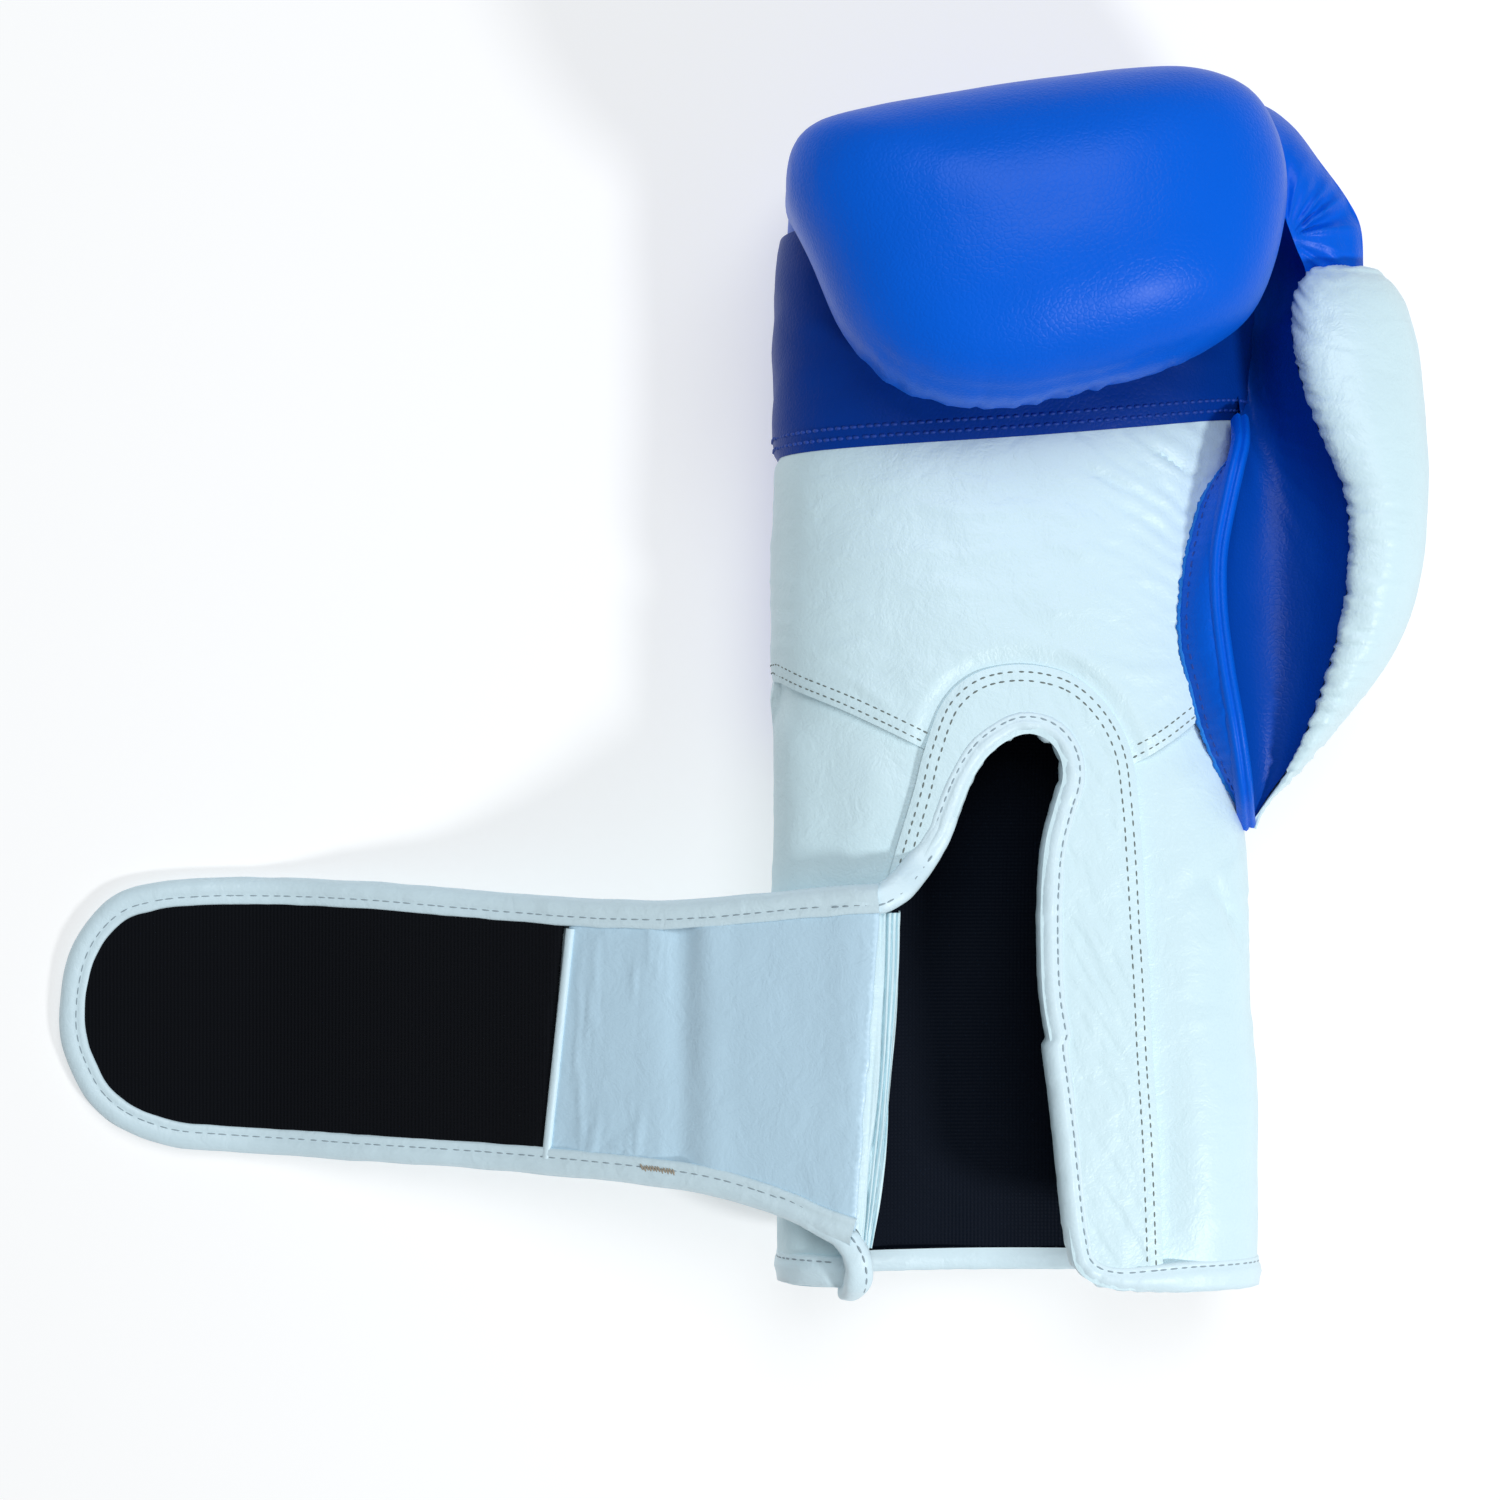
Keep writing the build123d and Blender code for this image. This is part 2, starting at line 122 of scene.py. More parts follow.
LOOKS = {
    "blue_leather": dict(color=(0.0008, 0.112, 0.70), rough=0.36, grain=0.35, wrinkle=0.12,
                         mottled=0.06, specular=0.08, coat=0.07),
    # Blue leather darkened: painted shade for the hollow between the thumb and the hand.
    "thumb_blue_leather": dict(color=(0.0008, 0.058, 0.40), rough=0.40, grain=0.3, wrinkle=0.25,
                               mottled=0.10, specular=0.15),
    # White leather greyed: painted shade for the strap's inner face as it slopes away from the light.
    "white_leather_painted_shade_on_strap": dict(color=(0.553, 0.76, 0.90), rough=0.36, grain=0.15, wrinkle=0.35,
                          wrinkle_size=7, mottled=0.03),
    # Lighter, speckled blue: partly the raw edge's own tone, partly painted highlight where it catches light.
    "raw_edge_and_painted_highlight": dict(color=(0.02, 0.21, 0.72), rough=0.8, grain=0.6, grain_size=0.6, mottled=0.3,
                     specular=0.2),
    # Blue leather darkened: painted shade for the finger panel under the curled pad.
    "dark_blue_leather": dict(color=(0.0008, 0.040, 0.30), rough=0.42, grain=0.3, wrinkle=0.2,
                              mottled=0.08, specular=0.1),
    "white_leather": dict(color=(0.655, 0.84, 0.90), rough=0.42, grain=0.2, wrinkle=0.4,
                          wrinkle_size=7, mottled=0.03),
    "white_binding": dict(color=(0.68, 0.845, 0.915), rough=0.42, grain=0.12, wrinkle=0.3,
                          wrinkle_size=5, mottled=0.02),
    "black_lining": dict(color=(0.0020, 0.0050, 0.0125), rough=0.65, weave=0.5, weave_size=0.9,
                         specular=0.10),
    "hook_tape": dict(color=(0.0010, 0.0018, 0.0040), rough=0.85, weave=0.7, weave_size=0.9,
                      specular=0.16),
    "loop_tape": dict(color=(0.006, 0.006, 0.010), rough=0.95, grain=0.8, grain_size=0.5,
                      specular=0.2),
    # White thread drawn grey-blue: painted shade on the stitches.
    "white_stitching": dict(color=(0.30, 0.38, 0.43), rough=0.7),
    "grey_stitching": dict(color=(0.17, 0.20, 0.19), rough=0.75),
    "blue_stitching": dict(color=(0.002, 0.050, 0.36), rough=0.6),
    "brown_stitching": dict(color=(0.36, 0.31, 0.24), rough=0.75),
}
materials = {name: material(name, **look) for name, look in LOOKS.items()}


# ---------------------------------------------------------------- numbers along a line
def ease(x, xs, ys):
    """Smooth curve through (xs, ys), evaluated at x."""
    xs, ys, x = np.asarray(xs, float), np.asarray(ys, float), np.asarray(x, float)
    slope = np.gradient(ys, xs)
    i = np.clip(np.searchsorted(xs, x) - 1, 0, len(xs) - 2)
    h = xs[i + 1] - xs[i]
    t = np.clip((x - xs[i]) / h, 0, 1)
    return (
        ys[i] * (2 * t**3 - 3 * t**2 + 1)
        + slope[i] * h * (t**3 - 2 * t**2 + t)
        + ys[i + 1] * (3 * t**2 - 2 * t**3)
        + slope[i + 1] * h * (t**3 - t**2)
    )


def smoothstep(x, a, b):
    t = np.clip((x - a) / (b - a), 0, 1)
    return t * t * (3 - 2 * t)


def bell(x, centre, width):
    return np.exp(-(((x - centre) / width) ** 2))


def lengths(line):
    """Length along a line up to each of its points."""
    return np.r_[0, np.cumsum(np.linalg.norm(np.diff(line, axis=0), axis=1))]


def sample(at, s, table):
    """Table with one row for each of the lengths s, read off at other lengths."""
    return np.stack([np.interp(at, s, column) for column in table.T], -1)


def resampled(line, count):
    return sample(np.linspace(0, 1, count), np.linspace(0, 1, len(line)), line)


def columns(*values):
    """Numbers and arrays side by side, as the columns of one table."""
    return np.stack(np.broadcast_arrays(*values), -1)


def even(curve, step):
    """The same line with evenly spaced points."""
    s = lengths(curve)
    return sample(np.linspace(0, s[-1], max(2, round(s[-1] / step) + 1)), s, curve)


def through(points, step=2.0, closed=False):
    """Even points along a smooth curve through the given ones."""
    p = np.asarray(points, float)
    if closed:
        p = np.vstack([p[-2:], p, p[:3]])
    gaps = np.maximum(np.linalg.norm(np.diff(p, axis=0), axis=1), 1e-6)
    d = np.r_[0, np.cumsum(gaps**0.5)]
    span = (d[2], d[-3]) if closed else (d[0], d[-1])
    fine = np.linspace(*span, max(80, 24 * len(p)))
    return even(columns(*(ease(fine, d, column) for column in p.T)), step)


def unit(v):
    return v / np.maximum(np.linalg.norm(v, axis=-1, keepdims=True), 1e-9)


def tangents(p):
    return unit(np.gradient(p, axis=0))


def beside(xy, distance):
    """Line parallel to xy, distance to its left."""
    t = tangents(xy)
    return xy + distance * columns(-t[:, 1], t[:, 0])


def offset_line(path, ups, side, up):
    """Line beside a path: side to its left and up, with the normals there."""
    t = tangents(path)
    n = unit(ups - (ups * t).sum(1, keepdims=True) * t)
    return path + np.cross(n, t) * np.reshape(side, (-1, 1)) + n * up, n


def rough(p, size, seed=0.0, octaves=2):
    """Soft noise from -1 to 1, its lumps about size across, at points or at a tuple of coordinates."""
    if isinstance(p, tuple):
        p = columns(*p, *(0.0,) * (3 - len(p)))
    points = p.reshape(-1, 3)
    out = np.zeros(len(points))
    for k in range(octaves):
        f = 2.0**k / np.asarray(size, float)
        q = points * f + seed + 17 * k
        out += np.array([noise.noise(Vector(v)) for v in q.tolist()]) / 2**k
    return out.reshape(p.shape[:-1])


def bumps(*args):
    """The raised half of the noise."""
    return np.maximum(rough(*args), 0)


# ---------------------------------------------------------------- meshes
def mesh(name, verts, faces, slot, sharp=50):
    """Smooth-shaded object from millimetre vertices."""
    me = bpy.data.meshes.new(name)
    me.from_pydata((np.asarray(verts) * MM).tolist(), [], [tuple(int(i) for i in f) for f in faces])
    me.validate()
    me.update()
    me.shade_smooth()
    if sharp:
        me.set_sharp_from_angle(angle=math.radians(sharp))
    ob = bpy.data.objects.new(name, me)
    bpy.context.scene.collection.objects.link(ob)
    me.materials.append(materials[slot])
    ob["slot"] = slot
    return ob


def only(faces):
    """The vertices some faces use, and the faces counted in those."""
    used = sorted({i for f in faces for i in f})
    index = {v: i for i, v in enumerate(used)}
    return used, [tuple(index[i] for i in f) for f in faces]


def grid_faces(rows, cols, close=False, flip=False):
    """Quads between rows of points, each row closed to a ring where asked."""
    faces = []
    for i in range(rows - 1):
        for j in range(cols if close else cols - 1):
            a, b = i * cols + j, i * cols + (j + 1) % cols
            c, d = b + cols, a + cols
            faces.append((a, d, c, b) if flip else (a, b, c, d))
    return faces


def end_faces(rows, cols):
    """The two faces that close a stack of rings."""
    return [tuple(range(cols))[::-1], tuple(range((rows - 1) * cols, rows * cols))]


def bvh(ob):
    faces = [tuple(f.vertices) for f in ob.data.polygons]
    return BVHTree.FromPolygons([v.co / MM for v in ob.data.vertices], faces)


def sweep(name, path, ups, profile, slot, close=False, caps=False):
    """Profile of (side, up) points carried along a path; side is to the path's left."""
    _, n = offset_line(path, ups, 0, 0)
    side = np.cross(n, tangents(path))
    rows = []
    for i, point in enumerate(path):
        pr = np.asarray(profile(i) if callable(profile) else profile, float)
        rows.append(point + pr[:, :1] * side[i] + pr[:, 1:] * n[i])
    shape = (len(rows), len(rows[0]))
    faces = grid_faces(*shape, close=close, flip=True) + (end_faces(*shape) if caps else [])
    return mesh(name, np.vstack(rows), faces, slot, 0)


def squared_ring(wide, high, count):
    """Profile of a rounded strip."""
    turns = np.linspace(0, 2 * math.pi, count + 1)[:-1]
    x, y = np.cos(turns), np.sin(turns)
    return columns(wide * np.sign(x) * abs(x) ** 0.75, high * np.sign(y) * abs(y) ** 0.85)


STITCH_SINK = 0.05
STITCH_SIDES = 6
STITCH_PROFILE = ((-0.5, 0.25), (-0.32, 0.85), (0.0, 1.0), (0.32, 0.85), (0.5, 0.25))   # (along, radius)


def dashes(name, lines, slot, pitch, length, wide, high, jitter=0.12):
    """Stitches as small rounded bars along lines of (points, normals)."""
    turns = [2 * math.pi * k / STITCH_SIDES for k in range(STITCH_SIDES)]
    shape = (len(STITCH_PROFILE), STITCH_SIDES)
    one = grid_faces(*shape, close=True) + end_faces(*shape)
    verts, faces = [], []
    rng = np.random.default_rng(len(name))
    for points, normals in lines:
        s = lengths(points)
        for at in np.arange(pitch / 2, s[-1] - pitch / 4, pitch):
            at += rng.uniform(-jitter, jitter) * pitch
            c = sample(at, s, points)
            t = unit(sample(at + 0.5, s, points) - sample(at - 0.5, s, points))
            n = sample(at, s, normals)
            n = unit(n - n.dot(t) * t)
            b = np.cross(n, t)
            size = length * rng.uniform(0.9, 1.1)
            faces += [tuple(len(verts) + k for k in f) for f in one]
            verts += [
                c + t * along * size + b * math.cos(a) * r * wide / 2
                + n * (math.sin(a) * r * high - STITCH_SINK)
                for along, r in STITCH_PROFILE for a in turns
            ]
    return mesh(name, verts, faces, slot, 0)


# ---------------------------------------------------------------- the body's surface
class Tube:
    """Surface through rounded sections along Y.

    A point is (q, y): q is the way round, 0 on the palm side, + to the thumb.
    """

    HALF = 165.0        # q goes from -HALF to HALF
    SAMPLES = 331       # points kept in half a section

    def __init__(self, rows, floor=None):
        rows = np.asarray(rows, float)
        self.y0 = rows[0, 0]
        self.ys = np.arange(rows[0, 0], rows[-1, 0] + 0.5, 1.0)
        left, right, bottom, top, power = (ease(self.ys, rows[:, 0], rows[:, k]) for k in range(1, 6))
        self.cx = (left + right) / 2
        angle = np.linspace(0, math.pi, 1601)
        u = np.linspace(0, 1, self.SAMPLES)
        self.x = np.zeros((len(self.ys), self.SAMPLES))
        self.z = np.zeros_like(self.x)
        for i, e in enumerate(2 / power):
            fx = (right[i] - left[i]) / 2 * np.abs(np.sin(angle)) ** e
            fz = (top[i] - bottom[i]) / 2 * np.sign(np.cos(angle)) * np.abs(np.cos(angle)) ** e
            s = np.r_[0, np.cumsum(np.hypot(np.diff(fx), np.diff(fz)))]
            self.x[i] = np.interp(u, s / s[-1], fx)
            self.z[i] = np.interp(u, s / s[-1], fz) + (bottom[i] + top[i]) / 2
        if floor is not None:
            self.z = floor + 0.5 * ((self.z - floor) + np.sqrt((self.z - floor) ** 2 + 1.0))
            self.z = np.maximum(self.z - 0.5 * np.exp(-np.abs(self.z - floor)), floor)

    def at(self, q, y):
        q, y = np.broadcast_arrays(np.asarray(q, float), np.asarray(y, float))
        u = (q / self.HALF + 1) % 2 - 1
        i = np.clip(y - self.y0, 0, len(self.ys) - 1.001)
        j = np.clip(np.abs(u) * (self.SAMPLES - 1), 0, self.SAMPLES - 1.001)
        i0, j0 = i.astype(int), j.astype(int)
        fi, fj = i - i0, j - j0

        def pick(table):
            return (
                table[i0, j0] * (1 - fi) * (1 - fj)
                + table[i0 + 1, j0] * fi * (1 - fj)
                + table[i0, j0 + 1] * (1 - fi) * fj
                + table[i0 + 1, j0 + 1] * fi * fj
            )

        x = np.interp(y, self.ys, self.cx) + np.sign(u) * pick(self.x)
        return columns(x, y, pick(self.z))

    def normal(self, q, y):
        q, y = np.asarray(q), np.asarray(y)
        dq = self.at(q + 2.0, y) - self.at(q - 2.0, y)
        dy = self.at(q, y + 2.0) - self.at(q, y - 2.0)
        return unit(np.cross(dq, dy))

    def row(self, y):
        return int(np.clip(round(y - self.y0), 0, len(self.ys) - 1))

    def flat(self, xy):
        """(q, y) of palm-side points given from above."""
        out = []
        for x, y in np.asarray(xy, float):
            i = self.row(y)
            k = int(np.argmax(self.x[i]))
            dx = x - self.cx[i]
            u = np.interp(abs(dx), self.x[i, : k + 1], np.linspace(0, k / (self.SAMPLES - 1), k + 1))
            out.append((math.copysign(u * self.HALF, dx), y))
        return np.array(out)

    def clears(self, point, gap):
        """Whether a point lies outside the section at its Y by more than a gap."""
        x, y, z = point
        i = self.row(y)
        half = np.interp(z, self.z[i][::-1], self.x[i][::-1])
        return abs(x - self.cx[i]) > half + gap or z > self.z[i, 0] + gap

    def side(self, y, z, sign):
        """q where the side wall is at height z."""
        u = np.interp(z, self.z[self.row(y)][::-1], np.linspace(1, 0, self.SAMPLES))
        return sign * u * self.HALF


def on(surface, flat):
    """Points of a surface, and its normals there."""
    return surface.at(*flat.T), surface.normal(*flat.T)


def inside(points, polygon):
    """Which points lie in a polygon."""
    x, y = points[:, 0], points[:, 1]
    hit = np.zeros(len(points), bool)
    px, py = polygon[:, 0], polygon[:, 1]
    for i in range(len(polygon)):
        j = i - 1
        cross = (py[i] > y) != (py[j] > y)
        with np.errstate(divide="ignore", invalid="ignore"):
            at = (px[j] - px[i]) * (y - py[i]) / (py[j] - py[i]) + px[i]
        hit ^= cross & (x < at)
    return hit


def away(points, line, closed=True):
    """Distance from points to a line."""
    ends = np.roll(line, -1, axis=0)
    best = np.full(len(points), 1e9)
    for p, q in list(zip(line, ends))[: None if closed else -1]:
        d = q - p
        t = np.clip(((points - p) @ d) / max(d @ d, 1e-9), 0, 1)
        best = np.minimum(best, np.linalg.norm(points - p - t[:, None] * d, axis=1))
    return best


def triangulate(outline, step):
    """Even triangles inside a closed outline. The outline's points come first."""
    lo, hi = outline.min(0), outline.max(0)
    pts = []
    for k, y in enumerate(np.arange(lo[1], hi[1], step * 0.866)):
        pts += [(x, y) for x in np.arange(lo[0] + (k % 2) * step / 2, hi[0], step)]
    pts = np.array(pts)
    pts = pts[inside(pts, outline)]
    pts = pts[away(pts, outline) > 0.6 * step]
    every = [Vector(p) for p in np.vstack([outline, pts]).tolist()]
    verts, _, faces, *_ = geometry.delaunay_2d_cdt(every, [], [list(range(len(outline)))], 1, 1e-4)
    return np.array([tuple(v) for v in verts]), [tuple(f) for f in faces]


def panel(name, surface, outline, slot, step=2.2, lift=0.0, puff=1.2, soft=5.0, thick=1.2,
          more=None, sharp=50, inward=False):
    """Leather panel on a surface, from an outline in (q, y).

    It is raised by lift, and swells by puff away from its edge.
    """
    flat, faces = triangulate(outline, step)
    edge = away(flat, outline)
    base, normal = on(surface, flat)
    if inward:
        normal = -normal
    up = lift + puff * (1 - np.exp(-edge / soft))
    if more is not None:
        up = up + more(flat, edge, base)
    top = base + normal * up[:, None]
    # The cut edge, turned down to the surface below.
    sides = dict.fromkeys((a, b) for f in faces for a, b in zip(f, f[1:] + f[:1]))
    rim = [(a, b) for (a, b) in sides if (b, a) not in sides]
    low = list(dict.fromkeys(v for pair in rim for v in pair))
    index = {v: len(top) + k for k, v in enumerate(low)}
    faces += [(b, a, index[a], index[b]) for a, b in rim]
    verts = np.vstack([top, top[low] - normal[low] * thick])
    a, b, c = faces[0][:3]
    if np.cross(verts[b] - verts[a], verts[c] - verts[a]) @ normal[a] < 0:
        faces = [tuple(reversed(f)) for f in faces]
    return mesh(name, verts, faces, slot, sharp)


skin = Tube(
    (
        (-184, -60.8, 52.0, 12.2, 62.0, 3.0),
        (-125, -60.8, 50.2, 11.6, 62.4, 2.9),
        (-80, -61.6, 48.6, 10.2, 62.6, 2.8),
        (-45, -61.6, 47.4, 3.5, 63.6, 2.7),
        (-10, -61.0, 46.5, -0.4, 64.4, 2.7),
        (30, -60.4, 48.0, -0.6, 64.8, 2.7),
        (65, -60.0, 50.0, -0.6, 65.4, 2.7),
        (84, -59.0, 49.0, 1.0, 65.6, 2.6),
    ),
    floor=0.0,
)

pocket = Tube(
    (
        (-184, -52.2, 44.2, 20.4, 56.8, 2.8),
        (-125, -52.6, 42.6, 20.4, 57.2, 2.8),
        (-80, -53.2, 41.4, 23.4, 57.6, 2.7),
        (-45, -52.2, 40.2, 32.5, 58.8, 2.6),
        (-10, -51.2, 38.2, 37.5, 59.7, 2.6),
        (30, -50.2, 38.2, 38.0, 60.2, 2.6),
        (60, -46.2, 36.2, 39.0, 60.2, 2.5),
        (77, -38.0, 28.0, 43.0, 57.0, 2.4),
    )
)


# ---------------------------------------------------------------- outlines
def joined(*runs, step=2.0):
    """One closed outline from runs of points, each evenly stepped."""
    out = []
    for run in runs:
        run = even(np.asarray(run, float), step)
        if out and np.linalg.norm(out[-1] - run[0]) < 0.4 * step:
            run = run[1:]
        out += list(run)
    if np.linalg.norm(out[0] - out[-1]) < 0.4 * step:
        out.pop()
    return np.array(out)


def wall(z, y_from, y_to, sign):
    """Run along the skin's side wall at height z."""
    ys = np.linspace(y_from, y_to, max(2, int(abs(y_to - y_from) / 3)))
    return [(skin.side(y, z, sign), y) for y in ys]


HAND_SEAM_Z, CUFF_SEAM_Z = 20.0, 34.0      # heights of the side seams
CUFF_TOP_Y = -46.4  # where the cuff's side seam gives way to the hand's
FINGERTIP_Y = 74.0
HEM_Y = -175.0
HEM_LEFT_X, HEM_RIGHT_X = -44.5, 24.0       # where the opening meets the hem
HEM_RISE = 2.3      # the cuff is this much shorter on the palm side than on the back
opening_path = through(
    (
        (-36.5, -87), (-33.2, -81.6), (-26.9, -75), (-22.6, -68.4), (-19.3, -59.6), (-15.4, -51.6),
        (-10.8, -46.9), (-5, -44.3), (-0.2, -45.6), (2.7, -49.3), (3.5, -54.2), (1.9, -60), (-0.4, -69),
        (-1.4, -80.4), (-1.5, -94.2), (-0.9, -105.7), (0.8, -116.1), (3.1, -133.4), (4.4, -147.2),
        (5.2, -160), (6.6, -167.2), (10.0, -170.6), (16, -172.5), (24, -172.7),
    ),
    step=1.5,
)
facing_edge = through(
    (
        (-38, -84), (-34.5, -71.2), (-30.4, -57.3), (-28.1, -48.1), (-23.4, -36.2), (-16.5, -30.4),
        (-6.2, -28.4), (5.4, -30.8), (13.4, -37.4), (18.7, -46.9), (20.8, -59.6), (22, -75.8),
        (23.1, -94.2), (24.3, -117.3), (25.7, -140.3), (26.8, -168),
    )
)
finger_seam = through(((-59.7, 21.4), (-43.1, 21.9), (-20.1, 23), (3, 24.6), (26, 26.9), (47.6, 30)))
left_seam = through(((-61.4, -31.2), (-56.9, -34.0), (-45.3, -39.3), (-30.4, -46.7), (-27, -48.6)))
right_seam = through(((15, -54), (19.7, -51.6), (28.4, -46.3), (34.6, -41.6), (42, -36), (49, -32.5)))


# ---------------------------------------------------------------- leather panels of the hand and cuff
facing_zone = np.vstack([facing_edge, [(27.0, -176)], opening_path[::-1]])


def clear_of_facing(base, reach):
    """0 under the facing, rising to 1 beyond it, on the palm side."""
    d = away(base[:, :2], facing_zone)
    d[inside(base[:, :2], facing_zone)] = 0
    out = smoothstep(d, 0.5, reach)
    out[base[:, 2] < 45] = 1
    return out


def palm_shape(flat, edge, base):
    """Slack leather on the palm: shallow hollows, fine creases, and ribs by the thumb."""
    x, y, _ = base.T
    slack = 0.9 * rough(base, (34, 26, 40), 3)
    fine = 0.5 * bumps(base, (17, 4.5, 30), 9, 3) * smoothstep(edge, 2, 10)
    fine -= 1.4 * bell(x, 27, 20) * bell(y, 16, 15) * bumps((x * 0.55 + y, x * 0.14), 2.6, 13, 3)
    swirl = np.arctan2(y + 62, x + 8)
    fine += 0.75 * bumps((swirl * 22, 0.05 * x), 1.7, 11, 3) * bell(y, -36, 8) * smoothstep(edge, 4, 7)
    ribs = bell(x, 30, 12) * bell(y, 8, 26) * np.sin(y * 1.3 + x * 0.8 + 2 * rough(base, 9, 5))
    slack = slack * smoothstep(edge, 0, 9) + fine + 0.22 * ribs
    return slack * clear_of_facing(base, 7.0) - 1.25 * (1 - clear_of_facing(base, 5.0))


def cuff_shape(flat, edge, base):
    """Stuffed cuff: broad soft dents, and creases by the thumb and on the left of the hem."""
    x, y, z = base.T
    dents = 1.5 * rough(base, (34, 30, 36), 21, 1)
    fine = 0.5 * bumps(base, (20, 6, 26), 29, 3) ** 1.5
    fine -= 1.1 * bumps((y - 0.75 * x, 0.12 * x, 0.12 * z), 5.0, 33, 2) * bell(x, 42, 12) * bell(y, -86, 14)
    along, off = (x - 36.7) * 0.53 - (y + 75.3) * 0.85, (x - 36.7) * 0.85 + (y + 75.3) * 0.53
    crease = bell(off + 0.02 * (along - 9) ** 2, 0, 1.5)
    fine -= 1.7 * crease * smoothstep(along, -1, 7) * smoothstep(-along, -24, -15)
    near_hem = bell(y, -170, 7) * smoothstep(-x, 40, 47)
    fine += 1.2 * near_hem * rough((x + 0.4 * z, 0.1 * y), 3.0, 35, 2)
    puffed = 2.2 * (1 - np.exp(-edge / 9.0)) + dents * smoothstep(edge, 0, 12) + fine * smoothstep(edge, 2, 8)
    seams = np.minimum(away(base[:, :2], left_seam, False), away(base[:, :2], right_seam, False))
    seams[z < 40] = 30
    puffed *= smoothstep(seams, 2, 12)
    under_strap = bell(x, -50, 13) * smoothstep(z, 48, 58)
    return puffed * clear_of_facing(base, 12.0) * (1 - 0.9 * under_strap)


def opening_at(y, other_side):
    """Where the opening's edge passes a height, on one of its sides."""
    return int(np.argmin(np.abs(opening_path[:, 1] - y) + 50 * other_side))


left_of, right_of = opening_path[:, 0] > -10, opening_path[:, 0] < 0
right_at = opening_at(-56, right_of)
under_facing = beside(opening_path, 1.5)
palm_outline = joined(
    wall(HAND_SEAM_Z, 21.4, -30, -1),
    np.vstack([[(skin.side(-30.0, HAND_SEAM_Z, -1), -30.0)], skin.flat(left_seam)]),
    skin.flat(under_facing[opening_at(-57, left_of) : right_at]),
    np.vstack([skin.flat(right_seam), [(skin.side(-31.0, HAND_SEAM_Z, 1), -31.0)]]),
    wall(HAND_SEAM_Z, -31, 30, 1),
    skin.flat(finger_seam)[::-1],
)
palm = panel("palm_leather", skin, palm_outline, "white_leather", step=1.25, lift=1.55, puff=0.75,
             soft=3, more=palm_shape)


def cuff_side(name, sign, by_opening, hem_x, top_y, top_edge):
    """One of the cuff's two palm-side panels."""
    corner = skin.flat([(hem_x, HEM_Y + HEM_RISE)])[0]
    outline = joined(
        skin.flat(by_opening),
        [corner, (skin.side(HEM_Y, CUFF_SEAM_Z, sign), HEM_Y)],
        wall(CUFF_SEAM_Z, HEM_Y, CUFF_TOP_Y, sign),
        wall(HAND_SEAM_Z - 0.4, CUFF_TOP_Y, top_y, sign),
        skin.flat(through(top_edge)),
    )
    panel(name, skin, outline, "white_leather", puff=0.0, more=cuff_shape)


left_side = np.vstack([under_facing[: opening_at(-58, left_of) + 1][::-1],
                       [(-37.5, -100), (-41, -140), (-42, HEM_Y + HEM_RISE)]])
cuff_side("cuff_leather_little_finger_side", -1, left_side, -42, -24,
          ((-61.4, -24.5), (-56.9, -28), (-45.3, -34.2), (-30.4, -42.3), (-21.5, -57)))
cuff_side("cuff_leather_thumb_side", 1, under_facing[right_at:], HEM_RIGHT_X, -28,
          ((49.5, -28), (42, -31.5), (34.6, -37.5), (28.4, -42), (15, -50), (5, -55)))


def back_outline(z, y_low, y_high):
    """Outline round the back of the body between its two side seams."""
    right = wall(z, y_low, y_high, 1)
    left = [(q + 2 * skin.HALF, y) for q, y in wall(z, y_high, y_low, -1)]
    return joined(right, [right[-1], left[0]], left, [left[-1], right[0]], step=3.0)


def cuff_back_shape(flat, edge, base):
    return (0.7 * rough(base, 30, 41) + 0.35 * bumps(base, (18, 6, 20), 42, 3)) * smoothstep(edge, 0, 9)


def back_shape(flat, edge, base):
    """Soft lumps, and flat where the glove rests on the ground."""
    z = base[:, 2]
    return 0.4 * rough(base, 34, 43) * smoothstep(z, 2, 9) - 0.8 * smoothstep(-z, -1.5, -0.3)


def finger_shape(flat, edge, base):
    creased = 0.5 * bumps(base, (16, 5, 20), 53, 3) * smoothstep(base[:, 0], 0, 30)
    return (0.5 * rough(base, (18, 8, 20), 51) + creased) * smoothstep(edge, 0, 8)


panel("cuff_leather_back", skin, back_outline(CUFF_SEAM_Z - 0.4, HEM_Y, -46), "white_leather",
      step=3.0, soft=6, more=cuff_back_shape)
panel("back_leather", skin, back_outline(HAND_SEAM_Z - 0.4, -45.4, 75), "blue_leather", step=3.0,
      puff=0.8, soft=6, more=back_shape)

# ---------------------------------------------------------------- finger panel and fist
finger_outline = joined(
    wall(HAND_SEAM_Z, FINGERTIP_Y, 21.4, -1),
    skin.flat(finger_seam),
    wall(HAND_SEAM_Z, 30, FINGERTIP_Y, 1),
    [(skin.side(FINGERTIP_Y, HAND_SEAM_Z, sign), FINGERTIP_Y) for sign in (1, -1)],
)
# The finger panel's leather is darkened as painted shade for the shade under the pad.
fingers = panel("finger_panel_leather", skin, finger_outline, "dark_blue_leather", lift=1.7, puff=0.9,
                soft=4, more=finger_shape)

